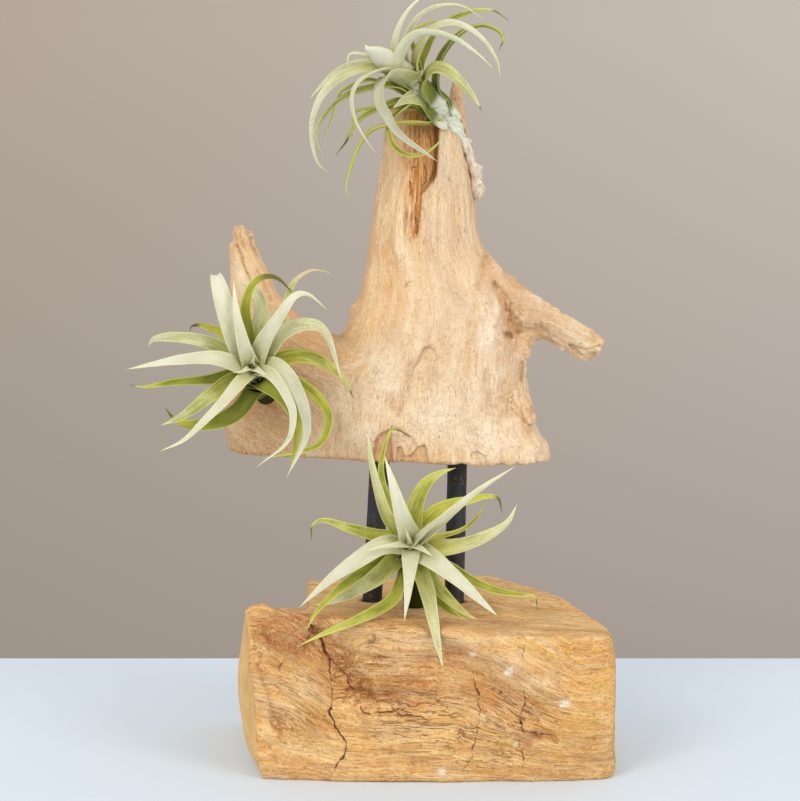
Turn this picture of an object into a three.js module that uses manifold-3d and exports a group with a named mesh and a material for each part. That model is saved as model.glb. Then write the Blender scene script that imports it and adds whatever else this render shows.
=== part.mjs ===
// Three air plants on a driftwood stand: a sawn wooden base, two iron posts, a piece of driftwood that
// stands on the posts, and three rosettes whose stems are fixed to the wood.
//
// Millimetres. +Z is up, +X is to the viewer's right and -Y is towards the viewer. The origin is on the
// underside of the base, below the middle of the block.
//
// Each plant is a group whose own frame looks at the viewer: its leaves are listed from the rosette's
// heart outwards, as points [right, out, up] that the leaf passes, where out is towards the viewer.

import * as THREE from "three";
import { mergeVertices } from "three/addons/utils/BufferGeometryUtils.js";
import Module from "manifold-3d";

// Driving dimensions.
const SEAT_GAP = 0.3; // between two pieces that touch
const POST_RADIUS = 5;
const POST_INSET = 20; // how far each post goes into the wood at both of its ends
const POST_TOP_Z = 154; // where the posts meet the driftwood
const POST_FOOT_Z = 76; // where they meet the top of the base
const POST_Y = 2;
const UNDERSIDE_Z = 152.2; // the sawn underside of the driftwood, at x = 0
const UNDERSIDE_FALL = 0.03; // how far that cut falls for each millimetre to the right
const LEAF_THICKNESS = 1.5;
const LEAF_FOLD = 0.35; // how far a leaf's edges rise, as a share of its half width
const LEAF_STATIONS = 12;
const SHEATH_SHARE = 0.14; // the share of a leaf's length over which its sheath widens

const wasm = await Module();
wasm.setup();

// ---------------------------------------------------------------- solids and meshes

// A closed geometry as a solid that can be cut and joined.
function solidOf(geometry) {
  const bare = geometry.clone();
  bare.deleteAttribute("normal");
  bare.deleteAttribute("uv");
  const merged = mergeVertices(bare, 1e-4);
  return new wasm.Manifold(
    new wasm.Mesh({
      numProp: 3,
      vertProperties: merged.attributes.position.array,
      triVerts: new Uint32Array(merged.index.array),
    }),
  );
}

// The geometry of a solid.
function geometryOf(solid) {
  const mesh = solid.getMesh();
  const geometry = new THREE.BufferGeometry();
  geometry.setAttribute("position", new THREE.BufferAttribute(mesh.vertProperties, 3));
  geometry.setIndex(new THREE.BufferAttribute(mesh.triVerts, 1));
  geometry.computeVertexNormals();
  return geometry;
}

// The largest of the pieces that a cut leaves.
function largest(solid) {
  const pieces = solid.decompose();
  return pieces.reduce((best, piece) => (piece.volume() > best.volume() ? piece : best));
}

// A closed skin over rings of points, each ring with as many points, with a fan over each end.
function skin(rings) {
  const count = rings[0].length;
  const points = rings.flat();
  const faces = [];
  for (let i = 0; i + 1 < rings.length; i++) {
    for (let j = 0; j < count; j++) {
      const a = i * count + j;
      const b = i * count + ((j + 1) % count);
      faces.push(a, b, b + count, a, b + count, a + count);
    }
  }
  const capOver = (ring, first, facesBack) => {
    const middle = points.length;
    const centre = ring.reduce((sum, p) => sum.add(p), new THREE.Vector3());
    points.push(centre.divideScalar(count));
    for (let j = 0; j < count; j++) {
      const a = first + j;
      const b = first + ((j + 1) % count);
      faces.push(...(facesBack ? [b, a, middle] : [a, b, middle]));
    }
  };
  capOver(rings[0], 0, true);
  capOver(rings[rings.length - 1], (rings.length - 1) * count, false);
  return new THREE.BufferGeometry().setFromPoints(points).setIndex(faces);
}

// A level ring of wood from its left, right, front and back, as a rounded box seen from above.
const RING_POINTS = 24;
const RING_SQUARENESS = 2.5;
function levelRing({ z, left, right, front, back }) {
  const ring = [];
  const bow = (c) => Math.sign(c) * Math.abs(c) ** (2 / RING_SQUARENESS);
  for (let j = 0; j < RING_POINTS; j++) {
    const angle = (j / RING_POINTS) * 2 * Math.PI;
    const x = (left + right) / 2 + ((right - left) / 2) * bow(Math.cos(angle));
    const y = (front + back) / 2 + ((back - front) / 2) * bow(Math.sin(angle));
    ring.push(new THREE.Vector3(x, y, z));
  }
  return ring;
}

// A solid through level rings, listed upwards as [z, left, right, front, back].
function stack(levels) {
  const rings = levels.map(([z, left, right, front, back]) =>
    levelRing({ z, left, right, front, back }),
  );
  return solidOf(skin(rings));
}

// A round limb along a smooth curve through [x, y, z, radius] points.
function limb(stops, { sides = 12, steps = 12, grow = 0 } = {}) {
  const path = new THREE.CatmullRomCurve3(
    stops.map(([x, y, z]) => new THREE.Vector3(x, y, z)),
    false,
    "catmullrom",
  );
  const frames = path.computeFrenetFrames(steps);
  const rings = [];
  for (let i = 0; i <= steps; i++) {
    const t = i / steps;
    const centre = path.getPointAt(t);
    const place = path.getUtoTmapping(t) * (stops.length - 1);
    const k = Math.min(Math.floor(place), stops.length - 2);
    const radius = THREE.MathUtils.lerp(stops[k][3], stops[k + 1][3], place - k) + grow;
    const ring = [];
    for (let j = 0; j < sides; j++) {
      const angle = (j / sides) * 2 * Math.PI;
      ring.push(
        centre
          .clone()
          .addScaledVector(frames.normals[i], radius * Math.cos(angle))
          .addScaledVector(frames.binormals[i], radius * Math.sin(angle)),
      );
    }
    rings.push(ring);
  }
  return solidOf(skin(rings));
}

function box([x0, x1], [y0, y1], [z0, z1]) {
  const geometry = new THREE.BoxGeometry(x1 - x0, y1 - y0, z1 - z0);
  geometry.translate((x0 + x1) / 2, (y0 + y1) / 2, (z0 + z1) / 2);
  return geometry;
}

// ---------------------------------------------------------------- iron posts

// Each post leans a little: the x of its foot and of its top.
const POSTS = {
  left_post: { footX: -26.7, topX: -22.4 },
  right_post: { footX: 14.9, topX: 16.4 },
};
const POST_SIDES = 20;

function placeOnPost(object, { footX, topX }) {
  object.position.set((footX + topX) / 2, POST_Y, (POST_FOOT_Z + POST_TOP_Z) / 2);
  object.rotation.y = Math.atan2(topX - footX, POST_TOP_Z - POST_FOOT_Z);
  return object;
}

function postGeometry(radius, length) {
  return new THREE.CylinderGeometry(radius, radius, length, POST_SIDES).rotateX(Math.PI / 2);
}

const POST_LENGTH = POST_TOP_Z - POST_FOOT_Z + 2 * POST_INSET;

// The drilled holes for both posts, which run on a little past the posts' ends.
function postHoles() {
  return Object.values(POSTS).map((post) => {
    const drill = placeOnPost(
      new THREE.Mesh(postGeometry(POST_RADIUS + SEAT_GAP, POST_LENGTH + 2 * SEAT_GAP)),
      post,
    );
    drill.updateMatrixWorld();
    return solidOf(drill.geometry.clone().applyMatrix4(drill.matrixWorld));
  });
}

// ---------------------------------------------------------------- base block

// The block's outline from above, anticlockwise from the front left corner.
const BASE_OUTLINE = [
  [-81, -51],
  [-40, -55],
  [5, -57],
  [50, -55],
  [88, -51],
  [93, -42],
  [93, -22],
  [87, 2],
  [72, 34],
  [56, 52],
  [10, 59],
  [-45, 58],
  [-90, 54],
  [-98, 44],
  [-92, 10],
  [-86, -24],
];
const BASE_RING_POINTS = 52;
// [z, scale of the outline], upwards from the flat underside.
const BASE_SIDE = [
  [0, 0.985],
  [2, 0.995],
  [14, 1.005],
  [36, 1.012],
  [56, 1.005],
  [68, 0.99],
];
const BASE_TOP_RINGS = [0.965, 0.9, 0.72, 0.45, 0.2];
// The height of the top along its front and back edges, as [x, z]. Its left end rises past the step.
const FRONT_EDGE = [[-95, 87], [-70, 85], [-58, 81], [-9, 77.3], [46, 71.2], [95, 70.5]];
const BACK_EDGE = [[-95, 80], [-60, 76.5], [35, 79.8], [58, 75], [95, 67]];
// The left end, beyond a step that runs from front to back, falls away from the viewer.
const STEP_X = -59;
const STEP_TURN = 3; // degrees
const LEFT_END_FRONT_Z = 83;
const LEFT_END_FALL = 0.2; // how far it falls for each millimetre away from the viewer

function baseOutlinePoint(share) {
  const curve = new THREE.CatmullRomCurve3(
    BASE_OUTLINE.map(([x, y]) => new THREE.Vector3(x, y, 0)),
    true,
    "catmullrom",
    0.35,
  );
  return curve.getPointAt(share);
}

function heightAlong(edge, x) {
  const next = Math.max(1, edge.findIndex(([ex]) => ex >= x));
  const [x0, z0] = edge[next - 1];
  const [x1, z1] = edge[next];
  return THREE.MathUtils.mapLinear(x, x0, x1, z0, z1);
}

function baseTopHeight(x, y) {
  return THREE.MathUtils.mapLinear(y, -56, 56, heightAlong(FRONT_EDGE, x), heightAlong(BACK_EDGE, x));
}

function baseRing(scale, heightAt) {
  const ring = [];
  for (let j = 0; j < BASE_RING_POINTS; j++) {
    const point = baseOutlinePoint(j / BASE_RING_POINTS).multiplyScalar(scale);
    point.z = heightAt(point.x, point.y);
    ring.push(point);
  }
  return ring;
}

// What the left end lacks above its own sloping top.
function leftEndCut() {
  const shape = new THREE.Shape([
    new THREE.Vector2(-90, LEFT_END_FRONT_Z + 40 * LEFT_END_FALL),
    new THREE.Vector2(90, LEFT_END_FRONT_Z - 140 * LEFT_END_FALL),
    new THREE.Vector2(90, 120),
    new THREE.Vector2(-90, 120),
  ]);
  // Drawn as y and z, then pushed back along x from the step.
  const cut = new THREE.ExtrudeGeometry(shape, { depth: 60, bevelEnabled: false });
  cut.rotateY(Math.PI / 2).rotateX(Math.PI / 2);
  cut.rotateZ(THREE.MathUtils.degToRad(STEP_TURN)).translate(STEP_X - 60, 0, 0);
  return solidOf(cut);
}

function baseBlock() {
  const rings = BASE_SIDE.map(([z, scale]) => baseRing(scale, () => z));
  BASE_TOP_RINGS.forEach((scale) => rings.push(baseRing(scale, baseTopHeight)));
  const block = solidOf(skin(rings)).subtract(leftEndCut());
  return postHoles().reduce((wood, hole) => wood.subtract(hole), block);
}

// ---------------------------------------------------------------- driftwood

// [z, left, right, front, back], upwards.
const TRUNK_LEVELS = [
  [140, -64, 62, -26, 24],
  [158, -63, 61.5, -26, 24],
  [170, -60, 55, -25.5, 24],
  [186, -54, 50.5, -25, 23],
  [203, -46, 50, -24, 23],
  [216, -39.5, 50, -23, 22],
  [232, -32.5, 44, -21, 20],
  [244, -29.8, 36.5, -19.5, 18],
  [254, -28, 29, -18.5, 17],
  [268, -26, 25.2, -17.5, 16],
  [285, -23.5, 24, -16, 15],
  [302, -21, 21.5, -14.5, 13.5],
  [316, -19.5, 19.3, -13.5, 12.5],
  [324, -17.5, 16.5, -11, 10],
];
const WING_LEVELS = [
  [140, -92, -10, -17, 17],
  [158, -94, -10, -18, 18],
  [168, -99, -11, -19, 18],
  [185, -98.5, -14, -19, 17],
  [200, -98, -24, -18, 16],
  [209, -97.5, -36, -16.5, 14],
  [215, -97.3, -50, -15, 13],
  [219, -97, -59.5, -13.5, 12],
  [225, -96.5, -65.5, -12, 11],
  [233, -96.3, -72.5, -11, 10],
  [243, -96, -77.5, -10, 9],
  [252, -96, -82, -8.5, 8],
  [261, -95.6, -86, -6.5, 6],
  [267.5, -94, -89.5, -3.5, 4],
];
// The splinter that stands up behind the top plant's stem.
const SPLINTER_LEVELS = [
  [296, 8, 21, -4, 12],
  [318, 10, 20, -1, 10],
  [330, 11.5, 18.6, 1, 9],
  [339, 13, 17.4, 3, 8],
  [343.5, 14, 16, 4, 6.5],
];
// The split at the front of the top, open towards the viewer.
const SPLIT_LEVELS = [
  [262, -5, -1.5, -40, -15],
  [274, -7.5, 1, -40, -11],
  [292, -9.5, 5, -40, -8],
  [310, -10.5, 6.5, -40, -5],
  [330, -11, 7, -40, -2],
];
// [x, y, z, radius]
const BRANCH_STOPS = [
  [18, -1, 238, 15],
  [40, -3, 229.5, 12],
  [55, -4, 220.8, 8.6],
  [68, -5, 213.4, 7.4],
  [80, -5, 208.4, 6],
  [88, -5, 206.3, 3.8],
];

function rawDriftwood() {
  const underside = solidOf(
    box([-140, 140], [-60, 60], [-60, 0])
      .rotateY(Math.atan(UNDERSIDE_FALL))
      .translate(0, 0, UNDERSIDE_Z),
  );
  return stack(TRUNK_LEVELS)
    .add(stack(WING_LEVELS))
    .add(limb(BRANCH_STOPS, { sides: 16, steps: 10 }))
    .add(stack(SPLINTER_LEVELS))
    .subtract(stack(SPLIT_LEVELS))
    .subtract(underside);
}

// ---------------------------------------------------------------- plants

// place: where the rosette's heart is. turn and tip: how its frame is turned about the vertical and
// tipped back, in degrees. stem: [right, out, up, radius] from its foot to its growing tip. collar: the
// place of the lowest leaves on the stem. Each leaf has its level on the stem, from 0 at the collar to 1
// at the growing tip, its width and its points.
const LEFT_PLANT = {
  name: "left_plant",
  place: [-83, -50, 202],
  turn: 3.7,
  tip: 6.6,
  stem: [
    [7.4, -39.4, -13.6, 5.5],
    [5, -24, -9, 6],
    [1.5, -6, -3, 4.5],
    [0, 3, 1, 1.6],
  ],
  collar: [4.6, -22, -8.2],
  tipOfStem: [0, 1, 0.4],
  leaves: {
    left_leaf_01: [0.95, 7.5, [-2, 5, 5], [-4.5, 10, 13], [-7.5, 12, 28], [-8.5, 10, 42]],
    left_leaf_02: [
      0.9, 8.8,
      [6, 8, 13], [13, 13, 24], [20, 13, 33.5], [27, 9, 34.5], [36, 4, 27.5],
    ],
    left_leaf_03: [
      0.85, 8.2,
      [11, 9, 1], [19, 11, -7], [24.5, 7, -20], [25, 1, -33], [16, -5, -52.5],
    ],
    left_leaf_04: [
      0.93, 5.5,
      [9, 12, -3], [15.5, 14, -12], [19, 12, -22], [16, 8, -35], [1.6, 3, -47],
    ],
    left_leaf_05: [
      0.9, 7,
      [-6, 10, -7], [-14, 14, -16], [-24, 13, -26], [-33, 9, -34], [-44, 3, -39],
    ],
    left_leaf_06: [0.85, 9, [-11, 8, 3], [-20, 11, 5], [-35, 9, 4], [-48, 5, 2], [-60, 1, 0]],
    left_leaf_07: [
      0.8, 8.6,
      [-7, 6, 12], [-12, 9, 27], [-15.5, 7, 39], [-17, 1, 44.5], [-17, -6, 40],
    ],
    left_leaf_08: [0.75, 8.6, [9, 4, 10], [16, 6, 17.5], [26, 6, 20.5], [35, 3, 16], [43, -4, -7]],
    left_leaf_09: [
      0.6, 7.6,
      [3, -3, 14], [5, -4, 25], [3, -6, 35], [-2.5, -8, 39], [-8.5, -10, 41],
    ],
    left_leaf_10: [
      0.65, 5.4,
      [-1, 0, 15], [-3, 2, 28], [0, 2, 39], [6, 0, 43.5], [13, -3, 42.5],
      [20.5, -8, 35],
    ],
    left_leaf_11: [
      0.4, 4.6,
      [7, -9, 10], [14, -9, 22], [17, -8, 33], [21, -8, 42], [29, -10, 47],
      [38, -13, 46],
    ],
    left_leaf_12: [
      0.5, 7.6,
      [11, -5, 3], [21, -5, 5.5], [30, -7, 4], [39, -11, -1], [45, -15, -7],
      [49, -19, -15],
    ],
    left_leaf_13: [
      0.35, 4.8,
      [11, -10, -3], [22, -10, -7], [32, -11, -15], [36.5, -12, -25], [30, -12, -38],
      [5, -14, -43.5],
    ],
    left_leaf_14: [
      0.6, 6,
      [6, 1, -7], [14, 3, -12.5], [20, 0, -22], [21, -4, -33], [18, -8, -47.5],
    ],
    left_leaf_15: [0.45, 5.8, [-9, -5, -6], [-20, -4, -13], [-33, -6, -22.5], [-44, -10, -27]],
    left_leaf_16: [
      0.2, 9.2,
      [0, -12, -12], [-7, -11, -21], [-17, -12, -26], [-28, -14, -27.5], [-37, -15, -25],
      [-42, -15, -19],
    ],
    left_leaf_17: [
      0.3, 5,
      [-8, -10, -2], [-20, -9, -5], [-38, -10, -6.5], [-52, -12, -8.5], [-58.5, -13, -7.5],
    ],
    left_leaf_18: [
      0.5, 6.4,
      [-9, -4, 6], [-21, -1, 12.5], [-35, -1, 15], [-46, -5, 14.5], [-50, -11, 11],
    ],
  },
};

const BOTTOM_PLANT = {
  name: "bottom_plant",
  place: [-7.4, -42, 114.4],
  turn: 0,
  tip: 11,
  stem: [
    [2.4, -41, -34, 5.5],
    [2, -26, -20, 6.2],
    [0.5, -7, -5, 4.8],
    [0, 4, 2, 1.6],
  ],
  collar: [1.8, -22, -16.5],
  tipOfStem: [0, 2, 1],
  leaves: {
    bottom_leaf_01: [0.98, 5.8, [3, 6, 3], [8.5, 14, 8.5], [15, 20, 14], [22, 22, 20]],
    bottom_leaf_02: [0.98, 4.8, [-3, 6, 0.5], [-8, 13, 0], [-14.5, 18, -1], [-22, 20, -2.5]],
    bottom_leaf_03: [0.92, 8.4, [0, 6, -4], [-0.5, 14, -13], [-1.5, 18, -24], [-3, 16, -36]],
    bottom_leaf_04: [0.9, 9.2, [-1, 5, 5], [-4.5, 13, 15], [-8.5, 15, 29], [-12.5, 11, 43]],
    bottom_leaf_05: [
      0.85, 7.8,
      [5, 4, 3], [12, 10, 8.5], [21, 14, 17], [33.5, 12, 27], [51, 4, 38.5],
    ],
    bottom_leaf_06: [
      0.82, 9.2,
      [5, 3, -4], [12.5, 10, -8.5], [23, 13, -17], [33.5, 11, -26.5], [42, 7, -34],
    ],
    bottom_leaf_07: [
      0.8, 10.8,
      [-6, 3, -0.5], [-15, 9, -1], [-25, 11, -7], [-38, 8, -16], [-54, 0, -30],
    ],
    bottom_leaf_08: [
      0.6, 8.8,
      [7, -2, -2], [14, 1, -1.5], [25, 3, 0], [37, 2, 4.5], [47, -1, 11],
      [52, -4, 20],
    ],
    bottom_leaf_09: [
      0.6, 7.6,
      [3, -1, -8], [7.5, 4, -20], [10.5, 8, -34], [13, 10, -47], [15.5, 11, -59],
    ],
    bottom_leaf_10: [
      0.55, 9,
      [1, -5, 8], [2.5, -3, 20], [7.5, -4, 30], [15, -7, 35.5], [22, -10, 38],
    ],
    bottom_leaf_11: [
      0.5, 6.4,
      [4, -6, 6], [10, -3, 15], [18, -3, 19.5], [28, -5, 22], [37, -7, 24],
      [43, -9, 23], [45, -11, 16],
    ],
    bottom_leaf_12: [
      0.65, 6.8,
      [-6, -1, 6], [-12, 3, 15], [-16, 4, 27], [-19, 4, 40], [-21, 1, 55.5],
    ],
    bottom_leaf_13: [
      0.35, 4.6,
      [-5, -9, 8], [-11, -6, 22], [-14.5, -4, 36], [-12.5, -2, 49], [-8.5, -1, 56.5],
      [0.5, -1, 53],
    ],
    bottom_leaf_14: [
      0.45, 6.2,
      [-8, -6, 3], [-19, -4, 5.5], [-30, -4, 8.5], [-42, -7, 12.3], [-48, -9, 9.5],
      [-48.5, -10, 3],
    ],
    bottom_leaf_15: [
      0.5, 8.8,
      [-6, -5, -6], [-16, -3, -15], [-29, -4, -23], [-40, -7, -27.5], [-47, -10, -29],
    ],
    bottom_leaf_16: [
      0.2, 6,
      [-9, -13, -6.5], [-18.5, -8, -10.5], [-29.5, 0, -17], [-39, 7, -25], [-45.5, 10, -32],
      [-50, 13, -40.5],
    ],
    bottom_leaf_17: [
      0.3, 6,
      [-3, -8, -12], [-5.5, -4, -19], [-9, 0, -26], [-17, 5, -31.5], [-29, 10, -37],
      [-41.5, 13, -42], [-54, 15, -48],
    ],
    bottom_leaf_18: [
      0.35, 5,
      [8, -9, -6], [19, -8, -10.5], [30, -9, -17], [42, -11, -22], [54, -13, -24],
      [61, -15, -25], [62.5, -16, -32],
    ],
  },
};

const TOP_PLANT = {
  name: "top_plant",
  place: [-7.7, -28, 341],
  turn: 0,
  tip: 0,
  stem: [
    [34.3, -24, -60, 2.2],
    [33, -23, -50, 3],
    [29.8, -23, -40, 3.4],
    [23.7, -23, -30, 4.8],
    [16.7, -20, -19, 6],
    [4, -8, -6, 5.4],
    [-5.5, 1.5, 2.5, 1.8],
  ],
  collar: [16, -19.5, -18.4],
  tipOfStem: [-4.5, 0.5, 1.6],
  leaves: {
    top_leaf_01: [
      0.85, 9,
      [-5.5, 7, 3], [-4.5, 11, 10], [1, 14, 17.5], [9, 16, 19.5], [20, 16, 17],
      [31, 13, 10.5], [40, 9, 2.5],
    ],
    top_leaf_02: [0.9, 5.6, [-7, 4, 10], [-6.5, 6, 18], [-3, 6, 27], [3, 4, 34.5], [9.5, 0, 38]],
    top_leaf_03: [
      0.75, 5.6,
      [-2.5, 1, 11], [0, 0, 21], [6, -2, 29], [15, -5, 33], [26, -8, 32.5],
      [37, -12, 25.5],
    ],
    top_leaf_04: [
      0.35, 4.4,
      [5, -10, 2], [8, -11, 12], [13, -12, 21.5], [20, -13, 26.5], [30, -14, 30.5],
      [40, -15, 31], [47.5, -17, 26.5],
    ],
    top_leaf_05: [
      0.55, 8,
      [2.5, -1, 4], [5, 1, 13], [10, 2, 20.5], [18, 3, 24], [27, 3, 22],
      [36, 0, 15], [42, -3, 6], [43.5, -5, -3],
    ],
    top_leaf_06: [
      0.12, 9.5,
      [13, -13, -6], [14, -14, 5], [18, -15, 13], [26, -17, 21], [35, -19, 24],
      [43, -21, 21.5], [45.5, -22, 17.5], [43.5, -22, 12],
    ],
    top_leaf_07: [
      0.4, 9,
      [7, -3, -3], [11, 2, 2.5], [17, 4, 2], [24, 4, -4], [30, 2, -10.5],
      [34.5, -1, -17],
    ],
    top_leaf_08: [
      0.8, 9,
      [-9, 9, 0], [-13.5, 14, -4], [-14, 17, -12], [-10, 17, -20], [-4, 15, -28.5],
      [13, 10, -41],
    ],
    top_leaf_09: [
      0.85, 6,
      [-11, 8, 2.5], [-18, 14, 1], [-24.5, 17, -3.5], [-27.5, 18, -10], [-27, 17, -18],
      [-24, 15, -26], [-16, 11, -38],
    ],
    top_leaf_10: [
      0.7, 7.4,
      [-12, 3, 2.5], [-25, 7, 2], [-35, 8, -3], [-42, 7, -10.5], [-46, 5, -20],
      [-47, 3, -30], [-44.5, 1, -41.5], [-38.5, -1, -47.5],
    ],
    top_leaf_11: [
      0.65, 5.4,
      [-10, -2, 4], [-24, 0, 5], [-33, -1, 2.5], [-40, -2, -2.5], [-48.5, -4, -11.5],
    ],
    top_leaf_12: [
      0.5, 6.4,
      [-7, -2, -5], [-20, 0, -6.5], [-30, 0, -10], [-38, -1, -16], [-44, -3, -24],
      [-45.5, -5, -31], [-41, -8, -41.5],
    ],
    top_leaf_13: [0.85, 9, [-9.5, 10, 5], [-15, 16, 9], [-19.5, 21, 11.5], [-21.5, 22, 14]],
    top_leaf_14: [0.75, 6.8, [-9, 5, 5], [-18, 9, 8], [-25, 11, 10], [-29, 10, 9], [-30, 8, 3]],
    top_leaf_15: [
      0.3, 4,
      [2, -6, -13], [-5, -1, -17], [-10, 1, -24], [-8, 3, -33], [-1, 4, -38],
      [7, 3, -37], [13, 1, -33], [17.5, -2, -26.5],
    ],
    top_leaf_16: [
      0.05, 6.4,
      [7, -9, -23], [-3, -1, -22.5], [-13, 2, -24], [-20, 3, -27.5], [-25.5, 2, -35.5],
      [-29, 0, -45], [-31, -2, -54], [-29, -3, -60],
    ],
    top_leaf_17: [
      0.25, 5.6,
      [-3, -6, -12], [-14, -4, -15.5], [-22, -5, -19.5], [-27.5, -7, -25], [-31, -9, -32],
      [-36, -11, -38.5],
    ],
  },
};

const fromPlantPoint = ([right, out, up]) => new THREE.Vector3(right, -out, up);

// The plant's own frame, as a group.
function plantGroup({ name, place, turn, tip }) {
  const group = new THREE.Group();
  group.name = name;
  group.position.set(...place);
  group.rotation.order = "ZXY";
  group.rotation.z = THREE.MathUtils.degToRad(turn);
  group.rotation.x = THREE.MathUtils.degToRad(-tip);
  group.updateMatrixWorld();
  return group;
}

function stemSolid(plant, grow = 0) {
  const stops = plant.stem.map(([right, out, up, radius]) => [right, -out, up, radius]);
  return limb(stops, { sides: 12, steps: 3 * stops.length, grow });
}

// The stem's direction at the rosette, its radius there and the place on it of a leaf's level.
function growth(plant) {
  const collar = fromPlantPoint(plant.collar);
  const tip = fromPlantPoint(plant.tipOfStem);
  return {
    axis: tip.clone().sub(collar).normalize(),
    at: (level) => collar.clone().lerp(tip, level),
    radius: (level) => THREE.MathUtils.lerp(5.6, 2, level),
  };
}

// The line along the middle of a leaf, from the side of the stem.
function leafLine(plant, [level, , ...points]) {
  const { axis, at, radius } = growth(plant);
  const onAxis = at(level);
  const through = points.map(fromPlantPoint);
  const aside = through[0].clone().sub(onAxis);
  aside.addScaledVector(axis, -aside.dot(axis)).setLength(radius(level) + SEAT_GAP);
  return new THREE.CatmullRomCurve3([onAxis.add(aside), ...through], false, "catmullrom");
}

// A leaf's half width at a share t of its length: a sheath that widens, then a long taper.
function leafHalfWidth(width, t) {
  const sheath = 0.85 + 0.15 * THREE.MathUtils.smoothstep(t, 0, SHEATH_SHARE);
  return Math.max((width / 2) * sheath * (1 - t ** 1.7), 0.35);
}

// A leaf's section, as [side, rise] corners: a folded blade, keeled below. The space that it needs, with
// the gap to its neighbours, has blunt edges, so that the gap is kept round the blade's own sharp ones.
function leafSection(half, thick, gap) {
  const edge = half * LEAF_FOLD;
  if (gap === 0) return [[-half, edge], [0, 0], [half, edge], [0, -thick]];
  return [
    [-half - gap, edge - gap],
    [-half - gap, edge + gap],
    [0, gap],
    [half + gap, edge + gap],
    [half + gap, edge - gap],
    [0, -thick - 1.5 * gap],
  ];
}

// A leaf is a blade along its line. Its upper side faces the growing tip, and turns as the leaf bends.
function leafSolid(plant, leaf, gap = 0) {
  const line = leafLine(plant, leaf);
  const width = leaf[1];
  const upper = growth(plant).axis;
  const rings = [];
  for (let i = 0; i <= LEAF_STATIONS; i++) {
    const t = i / LEAF_STATIONS;
    const centre = line.getPointAt(t);
    const along = line.getTangentAt(t);
    upper.addScaledVector(along, -upper.dot(along)).normalize();
    const across = along.clone().cross(upper);
    if (i === 0) centre.addScaledVector(along, -gap);
    if (i === LEAF_STATIONS) centre.addScaledVector(along, gap);
    const section = leafSection(leafHalfWidth(width, t), LEAF_THICKNESS * (1 - 0.55 * t), gap);
    rings.push(
      section.map(([side, rise]) =>
        centre.clone().addScaledVector(across, side).addScaledVector(upper, rise),
      ),
    );
  }
  return solidOf(skin(rings));
}

// ---------------------------------------------------------------- materials

const SAWN_WOOD = { color: 0xc08a52, roughness: 0.8, metalness: 0 };
const DRIFTWOOD = { color: 0xdcb88a, roughness: 0.85, metalness: 0 };
const IRON = { color: 0x23262a, roughness: 0.55, metalness: 0.6 };
const WOOLLY_STEM = { color: 0xc9cdb8, roughness: 0.9, metalness: 0 };
const SILVER_LEAF = { color: 0xb9c9a6, roughness: 0.75, metalness: 0 };
const GREEN_LEAF = { color: 0x93a24a, roughness: 0.7, metalness: 0 };
const SILVER_LEVEL = 0.6; // leaves from here to the growing tip are silvery, the older ones green

function named(name, geometry, finish) {
  const mesh = new THREE.Mesh(geometry, new THREE.MeshStandardMaterial(finish));
  mesh.name = name;
  return mesh;
}

// ---------------------------------------------------------------- the whole display

const display = new THREE.Group();

const block = baseBlock();
display.add(named("base_block", geometryOf(block), SAWN_WOOD));
Object.entries(POSTS).forEach(([name, post]) => {
  display.add(placeOnPost(named(name, postGeometry(POST_RADIUS, POST_LENGTH), IRON), post));
});

// The top plant's stem lies in a notch that is as wide as the stem and its gap.
const topGroup = plantGroup(TOP_PLANT);
const topNotch = stemSolid(TOP_PLANT, SEAT_GAP).transform(topGroup.matrixWorld.toArray());
const driftwood = largest(
  postHoles().reduce((wood, hole) => wood.subtract(hole), rawDriftwood().subtract(topNotch)),
);
display.add(named("driftwood", geometryOf(driftwood), DRIFTWOOD));

function addPlant(plant) {
  const group = plantGroup(plant);
  const toPlant = group.matrixWorld.clone().invert().toArray();
  // The wood under this plant, moved out by the gap between a foot and its seat.
  const seat = [block, driftwood].map((wood) => wood.transform(toPlant));
  const towardsViewer = [0, -SEAT_GAP, SEAT_GAP];
  let stem = stemSolid(plant);
  seat.forEach((wood) => {
    stem = stem.subtract(wood).subtract(wood.translate(towardsViewer));
  });
  stem = largest(stem);
  group.add(named(plant.name + "_stem", geometryOf(stem), WOOLLY_STEM));

  // From the heart outwards, each leaf is trimmed where it would meet the stem or a leaf further in.
  const taken = [stemSolid(plant, SEAT_GAP)];
  Object.entries(plant.leaves).forEach(([name, leaf]) => {
    const trimmed = taken.reduce((rest, other) => rest.subtract(other), leafSolid(plant, leaf));
    const finish = leaf[0] >= SILVER_LEVEL ? SILVER_LEAF : GREEN_LEAF;
    group.add(named(name, geometryOf(largest(trimmed)), finish));
    taken.push(leafSolid(plant, leaf, SEAT_GAP));
  });
  display.add(group);
}

[TOP_PLANT, LEFT_PLANT, BOTTOM_PLANT].forEach(addPlant);

export default display;
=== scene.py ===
"""Three air plants on a driftwood stand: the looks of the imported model.

Lengths below are millimetres, and meshes are made in metres. +Z is up, +X is to the viewer's right and -Y is
towards the viewer. A leaf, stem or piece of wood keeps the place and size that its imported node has.
"""

import math

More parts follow.
